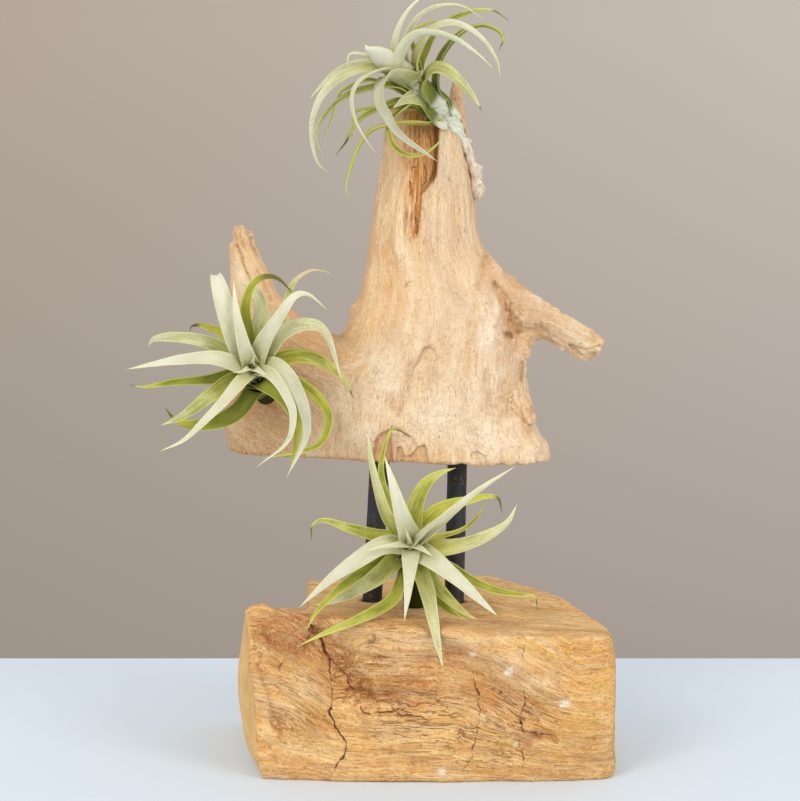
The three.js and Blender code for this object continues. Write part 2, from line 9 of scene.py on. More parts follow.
import bpy
import numpy as np
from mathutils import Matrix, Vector


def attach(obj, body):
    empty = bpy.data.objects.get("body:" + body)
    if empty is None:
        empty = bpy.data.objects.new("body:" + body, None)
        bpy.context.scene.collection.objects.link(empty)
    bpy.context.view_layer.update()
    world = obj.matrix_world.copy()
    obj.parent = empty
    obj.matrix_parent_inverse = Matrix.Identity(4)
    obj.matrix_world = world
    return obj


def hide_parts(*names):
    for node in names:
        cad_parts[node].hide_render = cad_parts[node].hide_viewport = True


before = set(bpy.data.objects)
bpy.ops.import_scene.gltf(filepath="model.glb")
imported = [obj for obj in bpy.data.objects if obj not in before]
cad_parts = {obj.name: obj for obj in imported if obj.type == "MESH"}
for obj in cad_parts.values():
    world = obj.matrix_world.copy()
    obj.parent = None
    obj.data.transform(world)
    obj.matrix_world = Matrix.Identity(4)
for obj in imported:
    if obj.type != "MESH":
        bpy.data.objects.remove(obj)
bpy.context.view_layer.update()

MM = 0.001


# ---------------------------------------------------------------- numbers

def smoothstep(value, low=0.0, high=1.0):
    """0 below low, 1 above high, and a smooth rise between them."""
    t = np.clip((value - low) / (high - low), 0, 1)
    return t * t * (3 - 2 * t)


def lerp(a, b, share):
    return a + (b - a) * share


def unit(rows):
    return rows / np.maximum(np.linalg.norm(rows, axis=-1, keepdims=True), 1e-9)


HASH_STEPS = (374761393, 668265263, 1440662683)
HASH_MIX = 1274126177
HASH_MASK = 0xFFFFFFFF
HASH_LOW = 0xFFFF


def corner_value(corner, seed):
    """A repeatable number from -1 to 1 for each lattice corner, a row of three whole numbers."""
    n = sum(corner[:, k] * step for k, step in enumerate(HASH_STEPS)) & HASH_MASK
    n = ((n ^ (n >> 13)) + seed * HASH_MIX) & HASH_MASK
    n = ((n ^ (n >> 15)) * HASH_MIX) & HASH_MASK
    return ((n ^ (n >> 16)) & HASH_LOW) / (HASH_LOW / 2) - 1


def noise(points, seed=0):
    """Smooth noise from -1 to 1 with bumps about one unit apart."""
    points = np.asarray(points, float)
    cell = np.floor(points).astype(np.int64)
    w = points - cell
    w = w * w * (3 - 2 * w)
    total = np.zeros(len(points))
    for corner in np.ndindex(2, 2, 2):
        share = np.prod(np.where(np.array(corner) == 1, w, 1 - w), axis=1)
        total += share * corner_value(cell + np.array(corner), seed)
    return total


LAYERS = 3
LAYER_SCALE = 2.03  # each layer of noise is this much finer than the one before, and this much weaker
LAYER_STRENGTH = 0.5
LAYER_SEED_STEP = 17


def layered(points, seed=0):
    """Noise with finer and weaker layers added."""
    total = np.zeros(len(points))
    for layer in range(LAYERS):
        finer = noise(points * LAYER_SCALE**layer, seed + LAYER_SEED_STEP * layer)
        total += finer * LAYER_STRENGTH**layer
    return total


def bell(value, middle, width):
    """1 at the middle, falling smoothly to 0 on either side."""
    return np.exp(-(((value - middle) / width) ** 2))


def hermite(rows, at):
    """Rows of values, with their place in the first column, smoothly interpolated at the places asked for."""
    rows = np.asarray(rows, float)
    place = rows[:, 0]
    slope = np.gradient(rows, place, axis=0)
    k = np.clip(np.searchsorted(place, at) - 1, 0, len(rows) - 2)
    span = place[k + 1] - place[k]
    u = np.clip((at - place[k]) / span, 0, 1)[:, None]
    span = span[:, None]
    return (
        rows[k] * (1 + 2 * u) * (1 - u) ** 2
        + slope[k] * span * u * (1 - u) ** 2
        + rows[k + 1] * u * u * (3 - 2 * u)
        - slope[k + 1] * span * u * u * (1 - u)
    )


CURVE_STEPS = 24


def curve(points, stations, tension=0.5, closed=False):
    """Points at equal steps along the Catmull-Rom curve through points, and the directions there."""
    p = np.asarray(points, float)
    if closed:
        p = np.vstack([p[-1], p, p[0], p[1]])
    else:
        p = np.vstack([2 * p[0] - p[1], p, 2 * p[-1] - p[-2]])
    u = np.linspace(0, 1, CURVE_STEPS, endpoint=False)[:, None]
    dense = []
    for a, b, c, d in zip(p, p[1:], p[2:], p[3:]):
        start, end = tension * (c - a), tension * (d - b)
        bend = -3 * b + 3 * c - 2 * start - end
        dense.append(b + start * u + bend * u**2 + (2 * b - 2 * c + start + end) * u**3)
    dense = np.vstack(dense + [p[-2][None]])
    length = np.concatenate([[0], np.cumsum(np.linalg.norm(np.diff(dense, axis=0), axis=1))])
    at = np.linspace(0, length[-1], stations)
    out = np.stack([np.interp(at, length, dense[:, k]) for k in range(dense.shape[1])], 1)
    return out, unit(np.gradient(out, axis=0))


def line_distance(points, line):
    """How far each point is from a line of corners, and the share of its length where it is nearest."""
    line = np.asarray(line, float)
    length = np.concatenate([[0], np.cumsum(np.linalg.norm(np.diff(line, axis=0), axis=1))])
    best = np.full(len(points), 1e9)
    share = np.zeros(len(points))
    for k, (a, b) in enumerate(zip(line, line[1:])):
        d = b - a
        t = np.clip((points - a) @ d / (d @ d), 0, 1)
        far = np.linalg.norm(points - a - t[:, None] * d, axis=1)
        nearer = far < best
        best = np.where(nearer, far, best)
        share = np.where(nearer, (length[k] + t * (length[k + 1] - length[k])) / length[-1], share)
    return best, share


# ---------------------------------------------------------------- meshes

def build(name, points, faces, numbers=None, vectors=None):
    """A smooth-shaded mesh object from points in millimetres, with its per-point attributes."""
    mesh = bpy.data.meshes.new(name)
    mesh.from_pydata((np.asarray(points) * MM).tolist(), [], faces)
    for key, values in (numbers or {}).items():
        layer = mesh.attributes.new(key, "FLOAT", "POINT")
        layer.data.foreach_set("value", np.asarray(values, np.float32))
    for key, values in (vectors or {}).items():
        layer = mesh.attributes.new(key, "FLOAT_VECTOR", "POINT")
        layer.data.foreach_set("vector", np.asarray(values, np.float32).ravel())
    mesh.polygons.foreach_set("use_smooth", [True] * len(mesh.polygons))
    mesh.update()
    piece = bpy.data.objects.new(name, mesh)
    bpy.context.scene.collection.objects.link(piece)
    return piece


def place(piece, material, slot, node=None):
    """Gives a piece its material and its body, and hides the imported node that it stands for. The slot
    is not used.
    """
    piece.data.materials.append(material)
    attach(piece, "root")
    if node:
        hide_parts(node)
    return piece


def loft_faces(rings, count):
    """Quads between rings of count points, and a fan over each end, whose middles are the last two points."""
    faces = []
    for i in range(rings - 1):
        for j in range(count):
            a, b = i * count + j, i * count + (j + 1) % count
            faces.append((a, b, b + count, a + count))
    first, last = rings * count, rings * count + 1
    for j in range(count):
        k = (j + 1) % count
        faces.append((k, j, first))
        faces.append(((rings - 1) * count + j, (rings - 1) * count + k, last))
    return faces


def with_ends(rings):
    """The rows of all rings, and the middles of the first and the last ring, as loft_faces wants them."""
    return np.vstack(rings + [rings[0].mean(0)[None], rings[-1].mean(0)[None]])


def per_point(values, count):
    """One value for each ring, as values for its points and for the middles of both ends."""
    return np.concatenate([np.repeat(values, count), [values[0], values[-1]]])


def frames(along, upper):
    """The directions across and up at each station of a line, carried along it without a twist."""
    for ahead in along:
        upper = unit(upper - ahead * (upper @ ahead))
        yield np.cross(ahead, upper), upper


def circle(count):
    """The cosines and sines of equal steps round a circle."""
    angles = np.linspace(0, 2 * math.pi, count, endpoint=False)
    return np.cos(angles), np.sin(angles)


def cell_points(value, cells):
    """The middle of the places where the skin crosses each grid cell's edges, in cells, and how many do."""
    total = np.zeros(cells + (3,))
    hits = np.zeros(cells)

    def corner(offset):
        return value[tuple(slice(o, o + n) for o, n in zip(offset, cells))]

    for axis in range(3):
        for offset in np.ndindex(2, 2, 2):
            if offset[axis]:
                continue
            far = tuple(o + (k == axis) for k, o in enumerate(offset))
            a, b = corner(offset), corner(far)
            crosses = (a < 0) != (b < 0)
            t = np.where(crosses, a / np.where(crosses, a - b, 1), 0)
            where = np.array(offset, float) + np.zeros(cells + (3,))
            where[..., axis] += t
            total += where * crosses[..., None]
            hits += crosses
    return total / np.maximum(hits, 1)[..., None], hits


def cell_quads(value, index):
    """The quads between the cells round each grid edge that the skin crosses, facing outwards."""
    quads = []
    for axis in range(3):
        u, v = (axis + 1) % 3, (axis + 2) % 3
        inner = [slice(1, -1)] * 3
        inner[axis] = slice(None, -1)
        ahead = list(inner)
        ahead[axis] = slice(1, None)
        a, b = value[tuple(inner)] < 0, value[tuple(ahead)] < 0
        at = np.stack(np.nonzero(a != b), 1)
        leaving = a[tuple(at.T)]
        at[:, [u, v]] += 1
        ring = []
        for du, dv in ((0, 0), (1, 0), (1, 1), (0, 1)):
            cell = at.copy()
            cell[:, u] -= du
            cell[:, v] -= dv
            ring.append(index[tuple(cell.T)])
        ring = np.stack(ring, 1)
        ring[~leaving] = ring[~leaving][:, ::-1]
        quads.append(ring[(ring >= 0).all(1)])
    return np.vstack(quads)


def surface(distance, low, high, step):
    """Points and triangles of the skin where distance is zero, found on a grid of cubes."""
    axes = [np.arange(lo, hi + step, step) for lo, hi in zip(low, high)]
    shape = tuple(len(axis) for axis in axes)
    grid = np.stack(np.meshgrid(*axes, indexing="ij"), -1).reshape(-1, 3)
    value = distance(grid).reshape(shape)
    cells = tuple(n - 1 for n in shape)
    inside_cell, hits = cell_points(value, cells)
    used = hits > 0
    index = np.full(cells, -1)
    index[used] = np.arange(used.sum())
    points = np.array(low) + step * (np.stack(np.nonzero(used), 1) + inside_cell[used])
    quads = cell_quads(value, index)
    return points, np.vstack([quads[:, [0, 1, 2]], quads[:, [0, 2, 3]]])


def settle(points, distance, rounds=3, reach=1.5, probe=0.25):
    """Moves points onto the skin where distance is zero, each by at most reach in a round."""
    for _ in range(rounds):
        value = distance(points)
        slope = np.stack([distance(points + probe * e) - value for e in np.eye(3)], 1) / probe
        size = np.maximum((slope**2).sum(1), 0.2)
        points = points - slope * np.clip(value / size, -reach, reach)[:, None]
    return points


def refine(points, triangles, wanted):
    """Halves the edges of the triangles that wanted picks, and splits their neighbours to match."""
    edges = np.sort(np.vstack([triangles[:, [0, 1]], triangles[:, [1, 2]], triangles[:, [2, 0]]]), axis=1)
    unique, back = np.unique(edges, axis=0, return_inverse=True)
    back = back.reshape(3, -1).T
    split = np.zeros(len(unique), bool)
    split[back[wanted].ravel()] = True
    middle = np.full(len(unique), -1)
    middle[split] = len(points) + np.arange(split.sum())
    ends = unique[split]
    points = np.vstack([points, (points[ends[:, 0]] + points[ends[:, 1]]) / 2])
    a, b, c = triangles.T
    ab, bc, ca = middle[back].T
    made = []

    def add(which, *corners):
        made.append(np.stack([np.asarray(corner)[which] for corner in corners], 1))

    count = (middle[back] >= 0).sum(1)
    add(count == 0, a, b, c)
    whole = count == 3
    add(whole, a, ab, ca)
    add(whole, ab, b, bc)
    add(whole, ca, bc, c)
    add(whole, ab, bc, ca)
    for p, q, r, pq, qr, rp in ((a, b, c, ab, bc, ca), (b, c, a, bc, ca, ab), (c, a, b, ca, ab, bc)):
        one = (count == 1) & (pq >= 0)
        add(one, p, pq, r)
        add(one, pq, q, r)
        two = (count == 2) & (rp < 0)
        add(two, pq, q, qr)
        add(two, p, pq, qr)
        add(two, p, qr, r)
    return points, np.vstack(made)


# ---------------------------------------------------------------- materials

def tint(code):
    """A colour written as on screen, such as E0BE96, as the linear colour that a shader takes."""
    screen = [int(code[k:k + 2], 16) / 255 for k in (0, 2, 4)]
    return tuple(c / 12.92 if c <= 0.04045 else ((c + 0.055) / 1.055) ** 2.4 for c in screen) + (1.0,)


MIX_FACTOR, MIX_A, MIX_B, MIX_RESULT = 0, 6, 7, 2


class Nodes:
    """A node tree, written as expressions: each call adds a node and gives its output."""

    def __init__(self, tree):
        self.tree = tree

    def node(self, kind, inputs, **settings):
        node = self.tree.nodes.new(kind)
        for key, value in settings.items():
            setattr(node, key, value)
        for key, value in inputs.items():
            self.feed(node.inputs[key], value)
        return node

    def feed(self, socket, value):
        if isinstance(value, bpy.types.NodeSocket):
            self.tree.links.new(value, socket)
        else:
            socket.default_value = value

    def attribute(self, name):
        return self.node("ShaderNodeAttribute", {}, attribute_type="GEOMETRY", attribute_name=name)

    def number(self, name):
        return self.attribute(name).outputs["Fac"]

    def vector(self, name):
        return self.attribute(name).outputs["Vector"]

    def math(self, operation, a, b=0.0, clamp=False):
        node = self.node("ShaderNodeMath", {0: a, 1: b}, operation=operation, use_clamp=clamp)
        return node.outputs[0]

    def noise(self, vector, sizes, detail=2.0, roughness=0.5):
        """Noise from 0 to 1 whose bumps have these sizes along the vector's three parts."""
        shrink = [1 / size for size in sizes]
        scaled = self.node("ShaderNodeVectorMath", {0: vector, 1: shrink}, operation="MULTIPLY")
        made = self.node(
            "ShaderNodeTexNoise",
            {"Vector": scaled.outputs[0], "Scale": 1.0, "Detail": detail, "Roughness": roughness},
        )
        return made.outputs["Fac"]

    def rise(self, value, low, high, kind="SMOOTHSTEP"):
        """0 below low, 1 above high, and a rise of this kind between; low may be above high for a fall."""
        inputs = {"Value": value, "From Min": low, "From Max": high}
        return self.node("ShaderNodeMapRange", inputs, interpolation_type=kind).outputs["Result"]

    def mix(self, factor, a, b):
        node = self.node("ShaderNodeMix", {MIX_FACTOR: factor, MIX_A: a, MIX_B: b}, data_type="RGBA")
        return node.outputs[MIX_RESULT]

    def share(self, value, amount):
        return self.math("MULTIPLY", value, amount)

    def add(self, *values):
        total = values[0]
        for value in values[1:]:
            total = self.math("ADD", total, value)
        return total

    def around(self, noise, amount):
        """Noise as a change of up to half the amount to either side."""
        return self.share(self.math("SUBTRACT", noise, 0.5), amount)

    def coat(self, colour, over, value, low, high, amount):
        """The colour with another over it where the value goes from low to high, at most by this amount."""
        return self.mix(self.share(self.rise(value, low, high), amount), colour, over)

    def bump(self, height, distance, strength=1.0):
        """A relief of this height in millimetres."""
        inputs = {"Height": height, "Distance": distance * MM, "Strength": strength}
        return self.node("ShaderNodeBump", inputs).outputs["Normal"]


class Shade(Nodes):
    """The nodes of a material."""

    def __init__(self, name):
        self.material = bpy.data.materials.new(name)
        self.material.use_nodes = True
        super().__init__(self.material.node_tree)
        self.shader = next(n for n in self.tree.nodes if n.type == "BSDF_PRINCIPLED")

    def finish(self, colour, roughness, normal, **constants):
        self.feed(self.shader.inputs["Base Color"], colour)
        self.feed(self.shader.inputs["Roughness"], roughness)
        self.feed(self.shader.inputs["Normal"], normal)
        for key, value in constants.items():
            self.shader.inputs[key.replace("_", " ")].default_value = value
        return self.material


LEAF_COLOURS = {
    # painted shade: the dark green between the leaves' feet and on leaves in the others' shade
    "painted_shade_green": tint("3F5205"),
    "deep": tint("8C8D16"),
    "green": tint("B9B63A"),
    "fresh": tint("D4D066"),
    "silver": tint("C9C6A5"),
    "white": tint("DEDAC6"),
    "rim": tint("E3E2AE"),
    "green_rim": tint("D2D468"),
    "dry": tint("CDBB92"),
    "dark_tip": tint("5A4E1E"),
    "wool": tint("E8E5D2"),
    "damp": tint("BEC698"),
}


def leaf_material():
    """A fuzzy leaf: green under a coat of silver scales, with pale rims and, on some leaves, a dry tip. Near
    its foot, and on leaves in the others' shade, it is painted a dark green for shade.
    """
    s = Shade("leaf")
    tints = LEAF_COLOURS
    blade, silver = s.vector("blade"), s.number("silver")
    streak = s.noise(blade, (0.55, 16, 0.55), 2)
    fuzz = s.noise(blade, (0.4, 0.5, 0.4), 2, 0.7)
    patch = s.noise(blade, (5, 11, 5), 2)
    tone = s.add(patch, s.share(s.number("tone"), 0.25))
    green = s.mix(s.rise(tone, 0.3, 0.7), tints["deep"], tints["green"])
    green = s.coat(green, tints["fresh"], streak, 0.45, 0.75, 0.6)
    bare = s.math("SUBTRACT", 1.0, s.share(silver, 0.8), clamp=True)
    # deep: the leaf's own green base, and painted shade near its foot and on shaded leaves
    deep = s.share(s.number("deep"), bare)
    green = s.mix(s.share(deep, 0.95), green, tints["painted_shade_green"])
    whiter = s.rise(s.add(s.number("along"), s.share(patch, 0.6)), 0.35, 1.2)
    cover = s.add(silver, s.around(fuzz, 1.3), s.around(streak, 0.22), s.around(patch, 0.3))
    colour = s.mix(s.rise(cover, 0.2, 0.95), green, s.mix(whiter, tints["silver"], tints["white"]))
    rim = s.mix(s.rise(silver, 0.3, 0.65), tints["green_rim"], tints["rim"])
    colour = s.coat(colour, rim, s.number("inset"), 0.75, 0.3, 0.8)
    wool = s.coat(tints["wool"], tints["damp"], streak, 0.4, 0.65, 0.4)
    colour = s.coat(colour, wool, s.add(s.number("wool"), s.around(fuzz, 0.7)), 0.25, 0.85, 1.0)
    colour = s.coat(colour, tints["dry"], s.add(s.number("dry"), s.around(fuzz, 0.5)), 0.35, 0.75, 1.0)
    colour = s.coat(colour, tints["dark_tip"], s.add(s.number("black"), s.around(fuzz, 0.9)), 0.3, 0.9, 0.85)
    height = s.add(s.share(fuzz, 0.8), s.share(streak, 0.7))
    roughness = s.add(s.share(fuzz, 0.2), 0.55)
    return s.finish(
        colour, roughness, s.bump(height, 0.25, 0.8),
        Sheen_Weight=0.08, Sheen_Roughness=0.5, Specular_IOR_Level=0.3,
    )


# ---------------------------------------------------------------- plants

# place: where the rosette's heart is. turn and tip: how its frame is turned about the vertical and tipped
# back, in degrees. stem: [right, out, up, radius] from its foot to its growing tip. collar: the place of the
# lowest leaves on the stem. A leaf is its level on the stem, from 0 at the collar to 1 at the growing tip,
# its width, and the points [right, out, up] that it passes, where out is towards the viewer. Each leaf has a
# number, which starts its random unevenness.
LEFT_PLANT = {
    "name": "left", "first_number": 31, "place": (-83, -50, 202), "turn": 3.7, "tip": 6.6,
    "stem": [(7.4, -39.4, -13.6, 5.5), (5, -24, -9, 6), (1.5, -6, -3, 4.5), (0, 3, 1, 1.6)],
    "collar": (4.6, -22, -8.2), "tip_of_stem": (0, 1, 0.4),
    "leaves": [
        (0.95, 7.5, (-2, 5, 5), (-4.5, 10, 13), (-7.5, 12, 28), (-8.5, 10, 42)),
        (0.9, 8.8, (6, 8, 13), (13, 13, 24), (20, 13, 33.5), (27, 9, 34.5), (36, 4, 27.5)),
        (0.85, 8.2, (11, 9, 1), (19, 11, -7), (24.5, 7, -20), (25, 1, -33), (16, -5, -52.5)),
        (0.93, 5.5, (9, 12, -3), (15.5, 14, -12), (19, 12, -22), (16, 8, -35), (1.6, 3, -47)),
        (0.9, 7, (-6, 10, -7), (-14, 14, -16), (-24, 13, -26), (-33, 9, -34), (-44, 3, -39)),
        (0.85, 9, (-11, 8, 3), (-20, 11, 5), (-35, 9, 4), (-48, 5, 2), (-59.4, 1, 0)),
        (0.8, 8.6, (-7, 6, 12), (-12, 9, 27), (-15.5, 7, 39), (-17, 1, 44.5), (-17, -6, 40)),
        (0.75, 8.6, (9, 4, 10), (16, 6, 17.5), (26, 6, 20.5), (35, 3, 16), (43, -4, -7)),
        (0.6, 7.6, (3, -3, 14), (5, -4, 25), (3, -6, 35), (-2.5, -8, 39), (-8.5, -10, 41)),
        (0.65, 5.4, (-1, 0, 15), (-3, 2, 28), (0, 2, 39), (6, 0, 43.5), (13, -3, 42.5), (20.5, -8, 35)),
        (0.4, 4.6, (7, -9, 10), (14, -9, 22), (17, -8, 33), (21, -8, 42), (29, -10, 47), (38, -13, 46)),
        (0.5, 7.6, (11, -5, 3), (21, -5, 5.5), (30, -7, 4), (39, -11, -1), (45, -15, -7), (49, -19, -15)),
        (0.35, 4.8, (11, -10, -3), (22, -10, -7), (32, -11, -15), (36.5, -12, -25), (30, -12, -38),
         (5, -14, -43.5)),
        (0.6, 6, (6, 1, -7), (14, 3, -12.5), (20, 0, -22), (21, -4, -33), (18, -8, -47.5)),
        (0.45, 5.8, (-9, -5, -6), (-20, -4, -13), (-33, -6, -22.5), (-44, -10, -27)),
        (0.2, 9.2, (0, -12, -12), (-7, -11, -21), (-17, -12, -26), (-28, -14, -27.5), (-37, -15, -25),
         (-42, -15, -19)),
        (0.3, 5, (-8, -10, -2), (-20, -9, -5), (-38, -10, -6.5), (-52, -12, -8.5), (-58.5, -13, -7.5)),
        (0.5, 6.4, (-9, -4, 6), (-21, -1, 12.5), (-35, -1, 15), (-46, -5, 14.5), (-50, -11, 11)),
    ],
    "small_leaves": [
        (1.0, 2.4, (0, 4, 2.5), (0.5, 7.3, 4), (0.9, 10, 6.5)),
        (0.3, 4.6, (-5.8, -5.5, 7.9), (-9.6, -7.2, 13.7), (-14.4, -8.2, 17.4), (-20.1, -8.3, 19.6),
         (-25.4, -7.5, 20.9), (-28.7, -6.7, 20.4), (-29.8, -7, 18)),
        (1.0, 3.2, (2, 5, -0.5), (5, 9, -2.5), (9, 13, -6)),
        (1.0, 3.0, (-2, 5, 0), (-5, 9, -1.5), (-9, 12, -2)),
    ],
}
BOTTOM_PLANT = {
    "name": "bottom", "first_number": 61, "place": (-7.4, -42, 114.4), "turn": 0, "tip": 11,
    "stem": [(2.4, -41, -34, 5.5), (2, -26, -20, 6.2), (0.5, -7, -5, 4.8), (0, 4, 2, 1.6)],
    "collar": (1.8, -22, -16.5), "tip_of_stem": (0, 2, 1),
    "leaves": [
        (0.98, 5.8, (3, 6, 3), (8.5, 14, 8.5), (15, 20, 14), (22, 22, 20)),
        (0.98, 4.8, (-3, 6, 0.5), (-8, 13, 0), (-14.5, 18, -1), (-22, 20, -2.5)),
        (0.92, 8.4, (0, 6, -4), (-0.5, 14, -13), (-1.5, 18, -24), (-3, 16, -36)),
        (0.9, 9.2, (-1, 5, 5), (-4.5, 13, 15), (-8.5, 15, 29), (-12.5, 11, 43)),
        (0.85, 7.8, (5, 4, 3), (12, 10, 8.5), (21, 14, 17), (33.5, 12, 27), (51, 4, 38.5)),
        (0.82, 9.2, (5, 3, -4), (12.5, 10, -8.5), (23, 13, -17), (33.5, 11, -26.5), (42, 7, -34)),
        (0.8, 10.8, (-6, 3, -0.5), (-15, 9, -1), (-25, 11, -7), (-38, 8, -16), (-54, 0, -30)),
        (0.6, 8.8, (7, -2, -2), (14, 1, -1.5), (25, 3, 0), (37, 2, 4.5), (47, -1, 11), (52, -4, 20)),
        (0.6, 7.6, (3, -1, -8), (7.5, 4, -20), (10.5, 8, -34), (13, 10, -47), (15.5, 11, -59)),
        (0.55, 9, (1, -5, 8), (2.5, -3, 20), (7.5, -4, 30), (15, -7, 35.5), (22, -10, 38)),
        (0.5, 6.4, (4, -6, 6), (10, -3, 15), (18, -3, 19.5), (28, -5, 22), (37, -7, 24), (43, -9, 23),
         (45, -11, 16)),
        (0.65, 6.8, (-6, -1, 6), (-12, 3, 15), (-16, 4, 27), (-19, 4, 40), (-21, 1, 55.5)),
        (0.35, 4.6, (-5, -9, 8), (-11, -6, 22), (-14.5, -4, 36), (-12.5, -2, 49), (-8.5, -1, 56.5),
         (0.5, -1, 53)),
        (0.45, 6.2, (-8, -6, 3), (-19, -4, 5.5), (-30, -4, 8.5), (-42, -7, 12.3), (-48, -9, 9.5),
         (-48.5, -10, 3)),
        (0.5, 8.8, (-6, -5, -6), (-16, -3, -15), (-29, -4, -23), (-40, -7, -27.5), (-47, -10, -29)),
        (0.2, 6, (-9, -13, -6.5), (-18.5, -8, -10.5), (-29.5, 0, -17), (-39, 7, -25), (-45.5, 10, -32),
         (-50, 13, -40.5)),
        (0.3, 6, (-3, -8, -12), (-5.5, -4, -19), (-9, 0, -26), (-17, 5, -31.5), (-29, 10, -37),
         (-41.5, 13, -42), (-54, 15, -48)),
        (0.35, 5, (8, -9, -6), (19, -8, -10.5), (30, -9, -17), (42, -11, -22), (54, -13, -24),
         (61, -15, -25), (62.5, -16, -32)),
    ],
    "small_leaves": [
        (1.0, 2.8, (-0.5, 5, 2.5), (-1.4, 9, 5), (-2.6, 13, 8.5)),
        (1.0, 3.6, (2, 4.5, 0), (6, 9, -2), (11, 14, -5.5)),
        (0.45, 4.6, (7.1, -1.6, 2.2), (12.5, -5.3, 4.2), (17.9, -8.1, 5.4), (23.3, -9.9, 6.9),
         (28.2, -10.4, 9.6), (32.6, -9.5, 14), (35.6, -8.6, 18.9), (36.6, -7.5, 24.2)),
        (0.5, 7.6, (6.5, 0.1, -9.9), (10, -0.5, -16.2), (14.8, -1.5, -22.2), (20.7, -2.5, -28),
         (27.2, -3.5, -33.2), (32.5, -3.8, -35.8)),
        (0.3, 5.4, (6.1, -6.8, -13.8), (9.1, -7.5, -20.3), (13.2, -6, -26), (18, -4.5, -30.8),
         (22.8, -2.5, -34), (27.2, 0, -36.4)),
    ],
}
TOP_PLANT = {
    "name": "top", "first_number": 1, "place": (-7.7, -28, 341), "turn": 0, "tip": 0,
    "stem": [(34.3, -24, -60, 2.2), (33, -23, -50, 3), (29.8, -23, -40, 3.4), (23.7, -23, -30, 4.8),
             (16.7, -20, -19, 6), (4, -8, -6, 5.4), (-5.5, 1.5, 2.5, 1.8)],
    "collar": (16, -19.5, -18.4), "tip_of_stem": (-4.5, 0.5, 1.6),
    "leaves": [
        (0.85, 9, (-5.5, 7, 3), (-4.5, 11, 10), (1, 14, 17.5), (9, 16, 19.5), (20, 16, 17), (31, 13, 10.5),
         (40, 9, 2.5)),
        (0.9, 5.6, (-7, 4, 10), (-6.5, 6, 18), (-3, 6, 27), (3, 4, 34.5), (9.5, 0, 38)),
        (0.75, 5.6, (-2.5, 1, 11), (0, 0, 21), (6, -2, 29), (15, -5, 33), (26, -8, 32.5), (37, -12, 25.5)),
        (0.35, 4.4, (5, -10, 2), (8, -11, 12), (13, -12, 21.5), (20, -13, 26.5), (30, -14, 30.5),
         (40, -15, 31), (47.5, -17, 26.5)),
        (0.55, 8, (2.5, -1, 4), (5, 1, 13), (10, 2, 20.5), (18, 3, 24), (27, 3, 22), (36, 0, 15),
         (42, -3, 6), (43.5, -5, -3)),
        (0.12, 9.5, (13, -13, -6), (14, -14, 5), (18, -15, 13), (26, -17, 21), (35, -19, 24),
         (43, -21, 21.5), (45.5, -22, 17.5), (43.5, -22, 12)),
        (0.4, 9, (7, -3, -3), (11, 2, 2.5), (17, 4, 2), (24, 4, -4), (30, 2, -10.5), (34.5, -1, -17)),
        (0.8, 9, (-9, 9, 0), (-13.5, 14, -4), (-14, 17, -12), (-10, 17, -20), (-4, 15, -28.5),
         (13, 10, -41)),
        (0.85, 6, (-11, 8, 2.5), (-18, 14, 1), (-24.5, 17, -3.5), (-27.5, 18, -10), (-27, 17, -18),
         (-24, 15, -26), (-16, 11, -38)),
        (0.7, 7.4, (-12, 3, 2.5), (-25, 7, 2), (-35, 8, -3), (-42, 7, -10.5), (-46, 5, -20), (-47, 3, -30),
         (-44.5, 1, -41.5), (-38.5, -1, -47.5)),
        (0.65, 5.4, (-10, -2, 4), (-24, 0, 5), (-33, -1, 2.5), (-40, -2, -2.5), (-48.5, -4, -11.5)),
        (0.5, 6.4, (-7, -2, -5), (-20, 0, -6.5), (-30, 0, -10), (-38, -1, -16), (-44, -3, -24),
         (-45.5, -5, -31), (-41, -8, -41.5)),
        (0.85, 9, (-9.5, 10, 5), (-15, 16, 9), (-19.5, 21, 11.5), (-21.5, 22, 14)),
        (0.75, 6.8, (-9, 5, 5), (-18, 9, 8), (-25, 11, 10), (-29, 10, 9), (-30, 8, 3)),
        (0.3, 4, (2, -6, -13), (-5, -1, -17), (-10, 1, -24), (-8, 3, -33), (-1, 4, -38), (7, 3, -37),
         (13, 1, -33), (17.5, -2, -26.5)),
        (0.05, 6.4, (7, -9, -23), (-3, -1, -22.5), (-13, 2, -24), (-20, 3, -27.5), (-25.5, 2, -35.5),
         (-29, 0, -45), (-31, -2, -54), (-29, -3, -60)),
        (0.25, 5.6, (-3, -6, -12), (-14, -4, -15.5), (-22, -5, -19.5), (-27.5, -7, -25), (-31, -9, -32),
         (-36, -11, -38.5)),
    ],
    "small_leaves": [
        (0.5, 3.2, (0.5, -4, 18.9), (4.3, -7, 22.6), (10.1, -10, 25.3), (16.2, -12, 25.8),
         (20.3, -14, 25.7), (25.2, -16, 24.8)),
        (0.5, 3.2, (-18.2, 2, -2.5), (-30.7, -2, -6.3), (-34.6, -4, -10.1), (-38.6, -6, -23),
         (-42, -7, -30.7), (-44.5, -8, -36.5)),
        (0.15, 9.5, (6.8, -8, -11.5), (1.9, -4, -10.5), (-2.9, 0, -12), (-8.2, 3, -15.8)),
        (0.3, 3.2, (-24.1, -8, -16.8), (-27.6, -10, -25), (-28.1, -10, -29.5)),
    ],
}
SILVER_LEVEL = 0.6  # leaves from here to the growing tip are silvery, the older ones green

